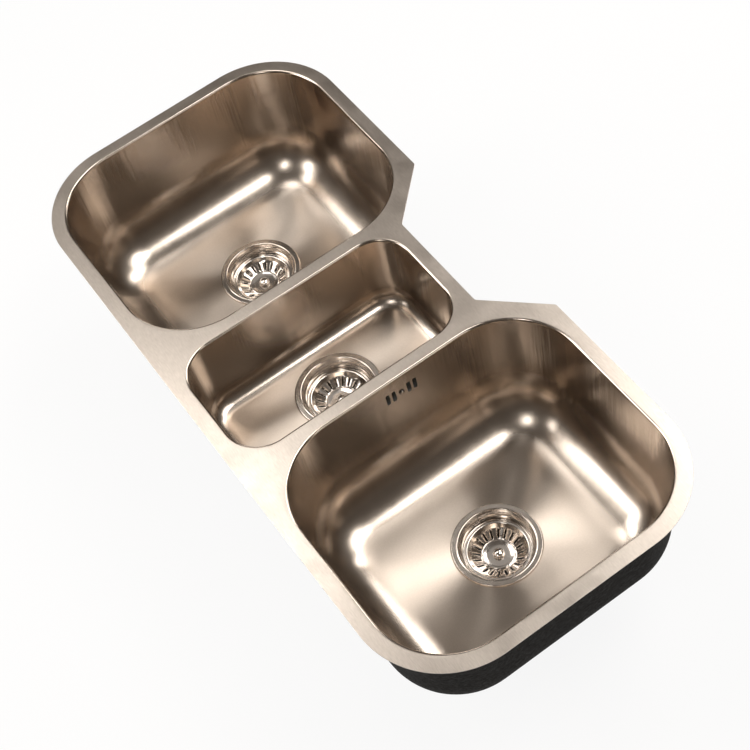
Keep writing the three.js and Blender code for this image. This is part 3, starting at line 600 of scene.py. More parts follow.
def satin_pressed_stainless():
    """304 sheet, deep-drawn and satin-polished: broad soft reflections with faint draw marks."""
    material, tree, place = finish("satin_pressed_stainless")
    across, along = 1 / (DRAW_MARK_WIDTH * MM), 1 / (DRAW_MARK_LENGTH * MM)
    stretched = node(tree, "Mapping", inputs={"Vector": place, "Scale": (across, across, along)})
    marks = node(tree, "TexNoise", inputs={
        "Vector": stretched.outputs[0], "Scale": 1.0, "Detail": 2.0, "Roughness": 0.5,
    })
    # The grain of the satin polish is 0.1 mm; it is drawn coarser so that it shows
    grain = node(tree, "TexNoise", inputs={
        "Vector": place, "Scale": 1 / (SATIN_GRAIN * MM), "Detail": 3.0, "Roughness": 0.6,
    })
    cloud = node(tree, "TexNoise", inputs={
        "Vector": place, "Scale": 1 / (SATIN_CLOUD * MM), "Detail": 2.0, "Roughness": 0.5,
    })
    geometry = node(tree, "NewGeometry").outputs
    height = node(tree, "SeparateXYZ", inputs={0: geometry["Position"]}).outputs[2]
    facing_up = node(tree, "SeparateXYZ", inputs={0: geometry["Normal"]}).outputs[2]

    # Painted shade: the walls are tinted duller and browner than the floor, for the dim brown light
    # that upright walls reflect from the room and from each other
    painted_shade_wall_tint = node(tree, "Mix", OF_COLOURS, {
        0: grain.outputs[0], 6: colour("#ac9f92"), 7: colour("#c0b3a6"),
    })
    floor_tint = node(tree, "Mix", OF_COLOURS, {
        0: grain.outputs[0], 6: colour("#c0b5aa"), 7: colour("#d2c7bc"),
    })
    lying = node(tree, "MapRange", SMOOTH, {"Value": facing_up, 1: 0.3, 2: FLOOR_FACING})
    tint = node(tree, "Mix", OF_COLOURS, {
        0: lying.outputs[0], 6: painted_shade_wall_tint.outputs[2], 7: floor_tint.outputs[2],
    })

    # The rolled edge is left brighter by the press tool, and free of the draw marks
    edge = node(tree, "MapRange", SMOOTH, {
        "Value": height, 1: -2 * EDGE_ROLL * MM, 2: -EDGE_ROLL / 2 * MM,
    })
    satin = node(tree, "MapRange", inputs={
        "Value": cloud.outputs[0], 1: NOISE_LOW, 2: NOISE_HIGH, 3: 0.215, 4: 0.262,
    })
    rough = node(tree, "Mix", inputs={0: edge.outputs[0], 2: satin.outputs[0], 3: 0.17})
    upright = node(tree, "MapRange", SMOOTH, {"Value": facing_up, 1: 0.1, 2: 0.6, 3: 1.0, 4: 0.1})
    marked = node(tree, "Math", {"operation": "SUBTRACT", "use_clamp": True}, {
        0: upright.outputs[0], 1: edge.outputs[0],
    })
    heights = node(tree, "Math", {"operation": "MULTIPLY_ADD"}, {
        0: grain.outputs[0], 1: GRAIN_SHARE, 2: marks.outputs[0],
    })
    bump = node(tree, "Bump", inputs={
        "Strength": marked.outputs[0], "Distance": DRAW_MARK_DEPTH * MM,
        "Height": heights.outputs[0],
    })
    walls = node(tree, "BsdfPrincipled", inputs={
        "Base Color": tint.outputs[2], "Roughness": rough.outputs[0],
        "Normal": bump.outputs[0], **METAL,
    })

    # The floor is polished in rings round the waste, up to where the fillet leaves it
    up = node(tree, "CombineXYZ", inputs={"Z": 1.0}).outputs[0]
    round_waste = node(tree, "VectorMath", {"operation": "CROSS_PRODUCT"}, {0: up, 1: place})
    floor_satin = node(tree, "MapRange", inputs={
        "Value": cloud.outputs[0], 1: NOISE_LOW, 2: NOISE_HIGH, 3: 0.28, 4: 0.34,
    })
    floor_bump = node(tree, "Bump", inputs={
        "Strength": 1.0, "Distance": FLOOR_GRAIN_DEPTH * MM, "Height": grain.outputs[0],
    })
    floor = node(tree, "BsdfPrincipled", inputs={
        "Base Color": tint.outputs[2], "Roughness": floor_satin.outputs[0],
        "Anisotropic": 0.95, "Anisotropic Rotation": 0.25, "Tangent": round_waste.outputs[0],
        "Normal": floor_bump.outputs[0], **METAL,
    })
    level = node(tree, "MapRange", SMOOTH, {"Value": facing_up, 1: FLOOR_FACING, 2: 0.999})
    shader = node(tree, "MixShader", inputs={
        0: level.outputs[0], 1: walls.outputs[0], 2: floor.outputs[0],
    })
    node(tree, "OutputMaterial", inputs={"Surface": shader.outputs[0]})
    return material


deck_steel = line_brushed_stainless()
bowl_steel = satin_pressed_stainless()
# 304 sheet, pressed and buffed: sharp bright and dark reflections with a few wipe marks
bright_steel = even_finish(
    "mirror_polished_stainless", ["#e2dcd6"], roughness=(0.1, 0.16),
    size=9.0, depth=0.003, detail=3.0, breakup=0.6,
)
# 304 sheet, spun and fine-polished: crisp edges on even grey faces
flange_steel = even_finish(
    "fine_polished_stainless", ["#ccc4bc", "#d6cec6"], roughness=(0.14, 0.19), size=12.0,
)
# Turned stainless screws: a bright face, a little broken by the marks of the tool. The marks
# are 0.1 mm wide; they are drawn coarser so that they show
screw_steel = even_finish(
    "bright_machined_steel", ["#aaa39c"], roughness=(0.1, 0.16), size=0.6, depth=0.01,
)
# Bitumen-like coat sprayed on the outside: matt near-black with a pebbled skin
coat_black = even_finish(
    "sprayed_deadening_coat", ["#12100e", "#1d1a17"], roughness=(0.75, 0.95),
    size=5.0, depth=1.6, detail=4.0, breakup=0.6, patch=45.0, others={"Specular IOR Level": 0.2},
)
# Nitrile seals: matt black with a fine bloom. Also laid on the overflow screw's collar as painted
# shade ringing its head
seal_rubber = even_finish(
    "moulded_black_rubber", ["#161617", "#242426"], roughness=(0.6, 0.8),
    size=6.0, depth=0.05, detail=4.0, breakup=0.6, others={},
)
# Injection-moulded pale grey plastic: an even eggshell sheen. The spark-eroded texture of the
# mould is 0.1 mm; it is drawn coarser so that it shows
grey_plastic = even_finish(
    "moulded_polypropylene", ["#c2c4c3", "#cdcfce"], roughness=(0.42, 0.55),
    size=0.8, depth=0.03, patch=30.0,
    others={"IOR": 1.49, "Subsurface Weight": 0.05, "Subsurface Radius": (PLASTIC_GLOW * MM,) * 3},
)


# Bowls
class Bowl:
    """A pressed bowl where its node lies."""

    def __init__(self, side, corner, fillet, dish):
        low, high = box(f"{side}_bowl")
        flange_low, flange_high = box(f"{side}_waste_flange")
        margin = Vector((EDGE_ROLL + EDGE_LIP, EDGE_ROLL + EDGE_LIP, 0))
        self.side = side
        self.low, self.high = low + margin, high - margin
        self.floor = low.z + SHEET
        self.corner, self.fillet, self.dish = corner, fillet, dish
        middle = (flange_low + flange_high) / 2
        self.drain = Vector((middle.x, middle.y, self.floor))

    def loop(self, inset, z):
        """The bowl's outline, drawn in by an inset: four arcs joined by straight sides."""
        centres = corner_centres(self.low, self.high, self.corner)
        points = []
        for quarter, (x, y) in enumerate(centres):
            for angle in turns(quarter * QUARTER, QUARTER, CORNER_STEPS):
                offset = polar(self.corner - inset, angle)
                points.append(Vector((x, y, z)) + offset)
            next_x, next_y = centres[(quarter + 1) % 4]
            start, end = points[-1], Vector((next_x, next_y, z)) + offset
            points.extend(start.lerp(end, step / SIDE_STEPS) for step in range(1, SIDE_STEPS))
        return points

    def wall_inset(self, z, offset):
        """How far in the wall stands at a height, on the face that lies offset outside it."""
        roll_end = EDGE_ROLL * (math.cos(WALL_DRAFT) - 1)
        roll_low = EDGE_ROLL * (math.sin(WALL_DRAFT) - 1)
        return roll_end + (roll_low - z) * math.tan(WALL_DRAFT) - offset / math.cos(WALL_DRAFT)

    def roll_section(self, offset):
        """(inset, z) points from the flat lip over the rolled edge."""
        radius = EDGE_ROLL - offset
        points = [(-EDGE_ROLL - EDGE_LIP, -offset)]
        for angle in turns(0, QUARTER - WALL_DRAFT, ROLL_STEPS):
            inset = radius * math.sin(angle) - EDGE_ROLL
            points.append((inset, radius * math.cos(angle) - EDGE_ROLL))
        return points

    def fillet_section(self, offset):
        """(inset, z) points round the fillet from the wall to the floor."""
        centre_z = self.floor + self.dish + self.fillet
        centre_inset = self.wall_inset(centre_z, 0) + self.fillet / math.cos(WALL_DRAFT)
        radius = self.fillet + offset
        points = []
        for angle in turns(WALL_DRAFT, QUARTER - WALL_DRAFT, FILLET_STEPS):
            inset = centre_inset - radius * math.cos(angle)
            points.append((inset, centre_z - radius * math.sin(angle)))
        return points

    def floor_loops(self, edge, radius, offset):
        """Loops from the fillet's end to a circle round the waste, falling a little on the way."""
        loops = []
        for row in range(1, FLOOR_STEPS + 1):
            t = row / FLOOR_STEPS
            fall = t * t * (3 - 2 * t)
            z = self.floor + self.dish * (1 - fall) - offset
            loop = []
            for point in edge:
                away = (point - self.drain).xy.normalized() * radius
                inner = Vector((self.drain.x + away.x, self.drain.y + away.y, z))
                loop.append(point.lerp(inner, t).xy.to_3d() + raised(z))
            loops.append(loop)
        return loops

    def face(self, top, offset, hole):
        """Loops of a face that lies offset outside the bowl's, from its top section to its hole."""
        fillet = self.fillet_section(offset)
        wall_top, wall_foot = Vector(top[-1]), Vector(fillet[0])
        shares = [step / WALL_STEPS for step in range(1, WALL_STEPS)]
        wall = [tuple(wall_top.lerp(wall_foot, share)) for share in shares]
        loops = [self.loop(inset, z) for inset, z in [*top, *wall, *fillet]]
        return loops + self.floor_loops(loops[-1], hole, offset)


def bowl_pressing(bowl):
    """The bowl's sheet, whose flat lip has the deck's finish."""
    upper, under = [
        bowl.face(bowl.roll_section(offset), offset, HOLE_RADIUS) for offset in (0, SHEET)
    ]
    form = strips(upper + under[::-1], closed=True)
    on_lip = [int(k < len(upper[0])) for k in range(len(form[1]))]
    return shown(
        f"{bowl.side}_bowl_pressing", form, [bowl_steel, deck_steel],
        [f"{bowl.side}_bowl"], centre=bowl.drain, faces_material=on_lip,
    )


def bowl_deadening(bowl):
    """The coat sprayed on the outside of a bowl, up to a little below the deck."""
    loops = []
    for offset in (SHEET + REST_GAP, SHEET + REST_GAP + COAT):
        top = [(bowl.wall_inset(-COAT_BELOW_DECK, offset), -COAT_BELOW_DECK)]
        face = bowl.face(top, offset, CLAMP_RADIUS + COAT_CLEARANCE)
        loops.extend(face[::-1] if loops else face)
    return shown(
        f"{bowl.side}_bowl_deadening", strips(loops, closed=True), [coat_black],
        [f"{bowl.side}_bowl_coat"],
    )


left_bowl = Bowl("left", BIG_CORNER, BIG_FILLET, BIG_DISH)
middle_bowl = Bowl("middle", SMALL_CORNER, SMALL_FILLET, SMALL_DISH)
right_bowl = Bowl("right", BIG_CORNER, BIG_FILLET, BIG_DISH)
bowls = [left_bowl, middle_bowl, right_bowl]


# Deck
def deck_outline(grow):
    """The deck's edge, from above and anticlockwise, moved outwards by a small distance."""
    low, high = box("deck_plate")
    notch_back = middle_bowl.high.y + high.y - left_bowl.high.y
    notch_left = left_bowl.high.x + NOTCH_FROM_LEFT_BOWL
    notch_right = right_bowl.low.x - NOTCH_FROM_RIGHT_BOWL
    notch = [
        (notch_right + NOTCH_SLANT, high.y, NOTCH_ROUND),
        (notch_right, notch_back, NOTCH_ROUND),
        (notch_left, notch_back, NOTCH_ROUND),
        (notch_left - NOTCH_SLANT, high.y, NOTCH_ROUND),
    ]
    arcs = [
        [
            (x + DECK_CORNER * math.cos(angle), y + DECK_CORNER * math.sin(angle), 0)
            for angle in turns(quarter * QUARTER, QUARTER, DECK_CORNER_STEPS)
        ]
        for quarter, (x, y) in enumerate(corner_centres(low, high, DECK_CORNER))
    ]
    edge = [*arcs[0], *notch, *arcs[1], *arcs[2], *arcs[3]]
    flat = softened(edge, closed=True, steps=DECK_EDGE_STEPS)
    moved = []
    for k, point in enumerate(flat):
        along = (flat[(k + 1) % len(flat)] - flat[k - 1]).normalized()
        moved.append(point + grow * Vector((along.y, -along.x)))
    return moved


def deck_sheet():
    """The deck's flat sheet with its rounded edge and an opening for each bowl's lip."""
    rings = []
    for centre_z, start in ((-DECK_EDGE_ROUND, QUARTER), (DECK_EDGE_ROUND - SHEET, 0)):
        for angle in turns(start, -QUARTER, DECK_EDGE_STEPS):
            grow = DECK_EDGE_ROUND * (math.cos(angle) - 1)
            z = centre_z + DECK_EDGE_ROUND * math.sin(angle)
            rings.append([point.to_3d() + raised(z) for point in deck_outline(grow)])
    points, faces = strips(rings)
    count = len(rings[0])
    lip = EDGE_ROLL + EDGE_LIP
    top_holes = [bowl.loop(-lip, 0)[::-1] for bowl in bowls]
    for z, edge, start in ((0, rings[0], 0), (-SHEET, rings[-1], len(points) - count)):
        holes = [[Vector((p.x, p.y, z)) for p in hole] for hole in top_holes]
        numbers = list(range(start, start + count))
        for hole in holes:
            numbers.extend(range(len(points), len(points) + len(hole)))
            points.extend(hole)
        for corner in tessellate_polygon([edge, *holes]):
            faces.append(tuple(numbers[k] for k in corner))
    first = len(rings) * count
    hole_size = len(top_holes[0])
    for index in range(len(bowls)):
        top = first + index * hole_size
        under = top + len(bowls) * hole_size
        for k in range(hole_size):
            k1 = (k + 1) % hole_size
            faces.append((top + k, top + k1, under + k1, under + k))
    shown("deck_sheet", (points, faces), [deck_steel], ["deck_plate"])


# Wastes
def turned_piece(bowl, name, stands_for, outline, material, slot, body="root", **how):
    """A bowl's piece, turned about the centre line of its waste."""
    form = turned(outline, bowl.drain, **how)
    side = bowl.side
    return shown(f"{side}_{name}", form, [material], [f"{side}_{stands_for}"], body)


def drain_windows(centre):
    """Cutters for the openings between the spokes of a cup's bottom."""
    cutters = []
    share = TURN / WINDOW_COUNT
    for index in range(WINDOW_COUNT):
        outline = []
        for radius, order in ((WINDOW_OUTER_RADIUS, 1), (WINDOW_INNER_RADIUS, -1)):
            half = share / 2 - math.asin(WINDOW_SPOKE / 2 / radius)
            for step in range(WINDOW_STEPS + 1):
                angle = index * share + order * (2 * step / WINDOW_STEPS - 1) * half
                rounding = WINDOW_ROUND if step in (0, WINDOW_STEPS) else 0
                outline.append((radius * math.cos(angle), radius * math.sin(angle), rounding))
        level = centre + raised(-CUP_DEPTH - SHEET / 2)
        placed = [level + point.to_3d() for point in softened(outline, closed=True)]
        cutters.append(tool(prism(placed, raised(1), SHEET + CUT_OVERRUN)))
    return cutters


def strainer_flange(bowl):
    """The pressed flange that lines the waste hole, with its bead, seat, cup and hub."""
    hub_floor = -CUP_DEPTH - HUB_DEPTH
    outline = [
        (RIM_RADIUS, 0, CRISP_EDGE),
        (RIM_RADIUS - RIM_BEVEL, RIM_HEIGHT, SOFT_EDGE),
        (RIM_LIP_RADIUS + BEAD_WIDTH, RIM_HEIGHT, CRISP_EDGE),
        (RIM_LIP_RADIUS + BEAD_WIDTH / 2, RIM_HEIGHT + BEAD_HEIGHT, KEEN_EDGE),
        (RIM_LIP_RADIUS - BEAD_WIDTH / 2, RIM_HEIGHT, SOFT_EDGE),
        (RIM_LIP_RADIUS - 2 * BEAD_WIDTH, RIM_HEIGHT - THROAT_DEPTH, SOFT_EDGE),
        (THROAT_RADIUS + SHEET / 2, -THROAT_DEPTH, TIGHT_BEND),
        (THROAT_RADIUS - SHEET, -THROAT_DEPTH - SHEET, ROUND_EDGE),
        (SEAT_RADIUS, -SEAT_DEPTH, TIGHT_BEND),
        (CUP_RADIUS, -SEAT_DEPTH, SOFT_EDGE),
        (CUP_BOTTOM_RADIUS, -CUP_DEPTH, OPEN_BEND),
        (HUB_RADIUS, -CUP_DEPTH, SOFT_EDGE),
        (HUB_FLOOR_RADIUS, hub_floor, SOFT_EDGE),
        (SCREW_RADIUS + BORE_GAP, hub_floor, 0),
        # and back along the underside
        (SCREW_RADIUS + BORE_GAP, hub_floor - SHEET, 0),
        (HUB_FLOOR_RADIUS + SHEET, hub_floor - SHEET, TIGHT_BEND),
        (HUB_RADIUS + SHEET, -CUP_DEPTH - SHEET, SOFT_EDGE),
        (CUP_BOTTOM_RADIUS + SHEET, -CUP_DEPTH - SHEET, WIDE_BEND),
        (CUP_RADIUS + SHEET, -SEAT_DEPTH - SHEET, SOFT_EDGE),
        (SEAT_RADIUS + SHEET, -SEAT_DEPTH - SHEET, SEAT_BEND),
        (THROAT_RADIUS + SHEET, -THROAT_DEPTH, ROUND_EDGE),
        (RIM_LIP_RADIUS + SHEET / 2, RIM_HEIGHT - SHEET, SOFT_EDGE),
        (RIM_RADIUS - RIM_BEVEL - SHEET, RIM_HEIGHT - SHEET, FINE_EDGE),
        (RIM_RADIUS - SHEET, 0, BROKEN_EDGE),
    ]
    piece = turned_piece(
        bowl, "strainer_flange", "waste_flange", outline, flange_steel, "polished_steel",
    )
    combined(piece, "DIFFERENCE", drain_windows(bowl.drain))


def waste_seals(bowl):
    """The seals above and below the bowl's floor."""
    clamp_top = -SHEET - REST_GAP
    seals = [
        ("rim_seal", RIM_SEAL_RADII, REST_GAP, RIM_HEIGHT - SHEET - REST_GAP, RIM_SEAL_ROUND),
        ("clamp_seal", CLAMP_SEAL_RADII, clamp_top - CLAMP_SEAL, clamp_top, CLAMP_SEAL_ROUND),
    ]
    for name, (inner, outer), low, high, rounding in seals:
        corners = [(outer, low), (inner, low), (inner, high), (outer, high)]
        outline = [(*corner, rounding) for corner in corners]
        turned_piece(bowl, f"{name}_ring", name, outline, seal_rubber, "black_rubber")


body_top = -SHEET - 2 * REST_GAP - CLAMP_SEAL
outlet_top = -BODY_CUP_DEPTH - BODY_FUNNEL
outlet_end = outlet_top - OUTLET_LENGTH


def outlet_thread(radius, z, angle):
    """How far the outlet's thread stands out at a height and a turn."""
    low, high = outlet_end + THREAD_PITCH / 2, outlet_top - 2 * THREAD_PITCH
    if radius < THREAD_ROOT_RADIUS - SHEET or not low < z < high:
        return 0
    turn = ((z - low) / THREAD_PITCH + angle / TURN) % 1
    crest = max(0, 1 - abs(2 * turn - 1) * THREAD_STEEPNESS)
    fade = min(1, (z - low) / THREAD_PITCH, (high - z) / THREAD_PITCH)
    return (THREAD_CREST_RADIUS - THREAD_ROOT_RADIUS) * crest * fade


def waste_housing(bowl, with_inlet):
    """The plastic body under a bowl, its threaded outlet and the web that the screw pulls on."""
    neck_outer = NECK_RADIUS + BODY_WALL
    cup_outer = BODY_CUP_RADIUS + BODY_WALL
    thread_top = outlet_top - THREAD_BELOW_FUNNEL
    thread_steps = int((OUTLET_LENGTH - THREAD_PITCH) / THREAD_PITCH * THREAD_POINTS)
    outline = [
        (OUTLET_RADIUS, outlet_end, FINE_EDGE),
        (OUTLET_RADIUS, outlet_top, BEND),
        (BODY_CUP_RADIUS, -BODY_CUP_DEPTH, WIDE_BEND),
        (BODY_CUP_RADIUS, -NECK_DEPTH - BODY_CONE, BEND),
        (NECK_RADIUS, -NECK_DEPTH, BEND),
        (NECK_RADIUS, body_top, FINE_EDGE),
        (CLAMP_RADIUS, body_top, SOFT_EDGE),
        (CLAMP_RADIUS, body_top - BODY_FLANGE, SOFT_EDGE),
        (neck_outer, body_top - BODY_FLANGE, TIGHT_BEND),
        (neck_outer, -NECK_DEPTH - BODY_WALL / 2, OPEN_BEND),
        (cup_outer, -NECK_DEPTH - BODY_CONE - BODY_WALL / 2, OPEN_BEND),
        (cup_outer, -BODY_CUP_DEPTH - BODY_WALL / 2, CUP_BEND),
        *(
            (THREAD_ROOT_RADIUS, thread_top - step / THREAD_POINTS * THREAD_PITCH, 0)
            for step in range(thread_steps)
        ),
        (THREAD_ROOT_RADIUS, outlet_end, EASED_EDGE),
    ]
    piece = turned_piece(
        bowl, "waste_housing", "waste_body", outline, grey_plastic, "grey_plastic",
        swell=outlet_thread,
    )

    centre = bowl.drain
    web_low = outlet_top - WEB_HEIGHT
    reach = (OUTLET_RADIUS + THREAD_ROOT_RADIUS) / 2
    half = WEB_THICKNESS / 2
    joined = [
        cuboid(centre + Vector((-x, -y, web_low)), centre + Vector((x, y, outlet_top)))
        for x, y in ((reach, half), (half, reach))
    ]
    hub_low, hub_high = centre + raised(web_low - half), centre + raised(outlet_top + half)
    joined.append(rod(hub_low, hub_high, WEB_HUB_RADIUS))
    bores = []
    if with_inlet:
        level = centre + raised(-INLET_DEPTH)
        root = level - Vector((BODY_CUP_RADIUS + BODY_WALL / 2, 0, 0))
        end = level - Vector((cup_outer + SPIGOT_LENGTH, 0, 0))
        joined.append(rod(end, root, spigot_radius))
        over = Vector((CUT_OVERRUN, 0, 0))
        bores.append(rod(end - over, root + 2 * over, spigot_radius - SPIGOT_WALL))
    combined(piece, "UNION", joined)
    bore_low, bore_high = [centre + raised(z) for z in (web_low - 2 * half, outlet_top + 2 * half)]
    bores.append(rod(bore_low, bore_high, SCREW_RADIUS + BORE_GAP))
    combined(piece, "DIFFERENCE", bores)


screw_base = -CUP_DEPTH - HUB_DEPTH + REST_GAP
screw_top = screw_base + SCREW_HEAD
socket_floor = screw_top - SOCKET_DEPTH


def fixing_screw(bowl):
    """The centre screw, slotted across its head, with a socket for the basket's stem."""
    end = outlet_top - WEB_HEIGHT + SCREW_SHORT_OF_WEB
    outline = [
        (0, socket_floor, 0),
        (STEM_RADIUS + BORE_GAP, socket_floor, CRISP_EDGE),
        (STEM_RADIUS + BORE_GAP, screw_top, CRISP_EDGE),
        (SCREW_HEAD_RADIUS, screw_top, ROUND_EDGE),
        (SCREW_HEAD_RADIUS, screw_base, KEEN_EDGE),
        (SCREW_RADIUS, screw_base, CRISP_EDGE),
        (SCREW_RADIUS, end, SOFT_EDGE),
        (0, end, 0),
    ]
    piece = turned_piece(
        bowl, "fixing_screw", "centre_screw", outline, screw_steel, "screw_steel", closed=False,
    )
    reach = SCREW_HEAD_RADIUS + CUT_OVERRUN
    half = SCREW_SLOT_WIDTH / 2
    low = bowl.drain + Vector((-reach, -half, socket_floor + half))
    high = bowl.drain + Vector((reach, half, screw_top + CUT_OVERRUN))
    combined(piece, "DIFFERENCE", [cuboid(low, high)])


# Strainer baskets
basket_top = -SEAT_DEPTH + REST_GAP + BASKET_SHEET
disc_top = basket_top - FOOT_DROP + DISC_RISE


def sector_border():
    """Places round one sector's border: from -1 to 1 across it, and from 0 to 1 down it."""
    for k in range(SECTOR_STEPS):
        yield -1 + 2 * k / SECTOR_STEPS, 0
    for k in range(SECTOR_SIDE_STEPS):
        yield 1, k / SECTOR_SIDE_STEPS
    for k in range(SECTOR_STEPS):
        yield 1 - 2 * k / SECTOR_STEPS, 1
    for k in range(SECTOR_SIDE_STEPS):
        yield -1, 1 - k / SECTOR_SIDE_STEPS


def slot_sector(index):
    """Loops of one sector of the basket's cone, from its border in to the rolled slot edge."""
    slant = Vector((FOOT_RADIUS - SHOULDER_RADIUS, SHOULDER_DROP - FOOT_DROP))
    length = slant.length
    down = slant / length
    upward = Vector((down.y, -down.x))
    half_turn = TURN / SLOT_COUNT / 2
    middle = index * 2 * half_turn
    slot_middle = Vector((0, length / 2))
    half_width = SLOT_WIDTH / 2
    half_length = length / 2 - SLOT_END_MARGIN
    side_power, end_power = SLOT_POWERS
    outer, inner = [], []
    for across, share in sector_border():
        radius = SHOULDER_RADIUS + share * slant.x
        point = Vector((across * half_turn * radius, share * length))
        away = point - slot_middle
        turn = math.atan2(away.y / half_length, away.x / half_width)
        x = half_width * math.copysign(abs(math.cos(turn)) ** side_power, math.cos(turn))
        y = half_length * math.copysign(abs(math.sin(turn)) ** end_power, math.sin(turn))
        outer.append(point)
        inner.append(slot_middle + Vector((x, y)))
    loops = []
    for share, drop in SLOT_EDGE:
        loop = []
        for start, end in zip(outer, inner):
            flat = start.lerp(end, share)
            along = flat.y
            radius = SHOULDER_RADIUS + down.x * along - upward.x * drop * SLOT_ROLL
            z = basket_top - SHOULDER_DROP + down.y * along - upward.y * drop * SLOT_ROLL
            angle = middle + flat.x / (SHOULDER_RADIUS + down.x * along)
            loop.append(polar(radius, angle, z))
        loops.append(loop)
    return loops


def basket_cup(bowl):
    """The pressed basket: a rolled lip, a cone with slots and a dished disc."""
    rim = softened([
        (BASKET_LIP_RADIUS, basket_top - BASKET_SHEET, 0),
        (BASKET_LIP_RADIUS, basket_top, FINE_EDGE),
        (BASKET_LIP_RADIUS - BASKET_LIP, basket_top, SOFT_EDGE),
        (SHOULDER_RADIUS, basket_top - SHOULDER_DROP, 0),
    ], closed=False)
    disc = softened([
        (FOOT_RADIUS, basket_top - FOOT_DROP, 0),
        (DISC_RADIUS, disc_top + DISC_RIM, EASED_EDGE),
        (DISC_RADIUS - DISC_RIM_WIDTH, disc_top + DISC_RIM, EASED_EDGE),
        (DISC_RADIUS - DISC_SLOPE_WIDTH, disc_top + DISC_RIM / 4, WIDE_BEND),
        (KNOB_NECK_RADIUS + DISC_FLAT_WIDTH, disc_top, BEND),
        (STEM_RADIUS + BORE_GAP, disc_top, 0),
    ], closed=False)
    angles = turns(-TURN / SLOT_COUNT / 2, TURN, SLOT_COUNT * SECTOR_STEPS)[:-1]
    parts = [
        [[polar(radius, angle, z) for angle in angles] for radius, z in profile]
        for profile in (rim, disc)
    ]
    parts.extend(slot_sector(index) for index in range(SLOT_COUNT))
    points, faces = [], []
    for loops in parts:
        part_points, part_faces = strips(loops)
        faces.extend(tuple(len(points) + k for k in face) for face in part_faces)
        points.extend(bowl.drain + point for point in part_points)
    side = bowl.side
    piece = shown(
        f"{side}_basket_cup", (points, faces), [bright_steel],
        [f"{side}_strainer_basket"], f"{side}_basket",
    )
    thick = piece.modifiers.new("sheet", "SOLIDIFY")
    thick.thickness = BASKET_SHEET * MM
    thick.offset = -1
    settle(piece)
    tidy(piece.data)


def dome(radius, low, height, steps):
    """Outline points from the top of a dome down to its foot."""
    rise = [
        (radius * math.cos(angle), low + height * math.sin(angle), 0)
        for angle in turns(0, QUARTER, steps)[:-1]
    ]
    return [(0, low + height, 0), *rise[::-1]]


def basket_knob(bowl):
    """The domed lift knob with a waist, in one piece with the stem that centres the basket."""
    neck_low = disc_top + KNOB_GAP
    dome_low = disc_top + REST_GAP + KNOB_NECK
    stem_end = socket_floor + STEM_TIP_GAP
    outline = [
        *dome(KNOB_RADIUS, dome_low, KNOB_DOME, KNOB_DOME_STEPS),
        (KNOB_RADIUS - KNOB_TUCK, dome_low - KNOB_EDGE, KEEN_EDGE),
        (KNOB_NECK_RADIUS, dome_low - KNOB_UNDERSIDE, SOFT_EDGE),
        (KNOB_NECK_RADIUS, neck_low + KNOB_FLARE, FINE_EDGE),
        (KNOB_NECK_RADIUS + KNOB_FLARE_WIDTH, neck_low, BROKEN_EDGE),
        (STEM_RADIUS, neck_low, 0),
        (STEM_RADIUS, stem_end, ROUND_EDGE),
        (0, stem_end, 0),
    ]
    turned_piece(
        bowl, "basket_knob", "lift_knob", outline, bright_steel, "polished_steel",
        f"{bowl.side}_basket", closed=False, steps=SMALL_TURNED_STEPS,
    )


def basket_stopper(bowl):
    """The rubber disc under a basket, with a hub, that lies on the cup's bottom."""
    bore = STEM_RADIUS + BORE_GAP
    hub_top = disc_top - BASKET_SHEET - REST_GAP
    low = -CUP_DEPTH + REST_GAP
    high = low + STOPPER_THICKNESS
    outline = [
        (STOPPER_RADIUS, low, KEEN_EDGE),
        (bore, low, BROKEN_EDGE),
        (bore, hub_top, KEEN_EDGE),
        (STOPPER_HUB_RADIUS, hub_top, ROUND_EDGE),
        (STOPPER_HUB_RADIUS, high + STOPPER_WEDGE, CLOSE_BEND),
        (STOPPER_HUB_RADIUS + STOPPER_WEDGE_WIDTH, high, CLOSE_BEND),
        (STOPPER_EDGE_RADIUS, high, EASED_EDGE),
        (STOPPER_RADIUS, low + STOPPER_THICKNESS / 2, KEEN_EDGE),
    ]
    turned_piece(
        bowl, "basket_stopper", "stopper_seal", outline, seal_rubber, "black_rubber",
        f"{bowl.side}_basket",
    )


# Overflow
housing_low, housing_high = box("overflow_housing")
housing_bottom = -OVERFLOW_DEPTH - (housing_high.z + OVERFLOW_DEPTH)
overflow_y = right_bowl.drain.y
wall_face = right_bowl.low.x + right_bowl.wall_inset(-OVERFLOW_DEPTH, 0)
pipe_radius = (housing_high.x - housing_low.x) / 2
pipe_x = (housing_high.x + housing_low.x) / 2
spigot_radius = pipe_radius - PIPE_WALL - REST_GAP


def on_axis(x):
    """The point of the overflow screw's centre line at an x."""
    return Vector((x, overflow_y, -OVERFLOW_DEPTH))


def overflow_cutters():
    """Cutters for the four slots and the screw hole in the right bowl's wall."""
    width, height = OVERFLOW_SLOT
    radius = width / 2
    straight = height / 2 - radius
    cutters = []
    for side in (-1, 1):
        for offset in OVERFLOW_SLOT_OFFSETS:
            middle = Vector((wall_face, overflow_y + side * offset, -OVERFLOW_DEPTH))
            outline = []
            for end, start in ((straight, 0), (-straight, TURN / 2)):
                for angle in turns(start, TURN / 2, OVERFLOW_SLOT_STEPS):
                    spot = Vector((0, radius * math.cos(angle), end + radius * math.sin(angle)))
                    outline.append(middle + spot)
            cutters.append(tool(prism(outline, Vector((1, 0, 0)), SHEET + CUT_OVERRUN)))
    over = Vector((SHEET + CUT_OVERRUN, 0, 0))
    spot = on_axis(wall_face)
    cutters.append(rod(spot - over, spot + over, OVERFLOW_SCREW_RADIUS + BORE_GAP))
    return cutters


def coat_window():
    """Cutter for the opening that the coat leaves round the overflow housing."""
    margin = COAT_WINDOW_MARGIN
    reach = SHEET + COAT + CUT_OVERRUN
    low = (wall_face - reach, housing_low.y - margin, housing_bottom - margin)
    return cuboid(low, (wall_face + reach, housing_high.y + margin, 0))


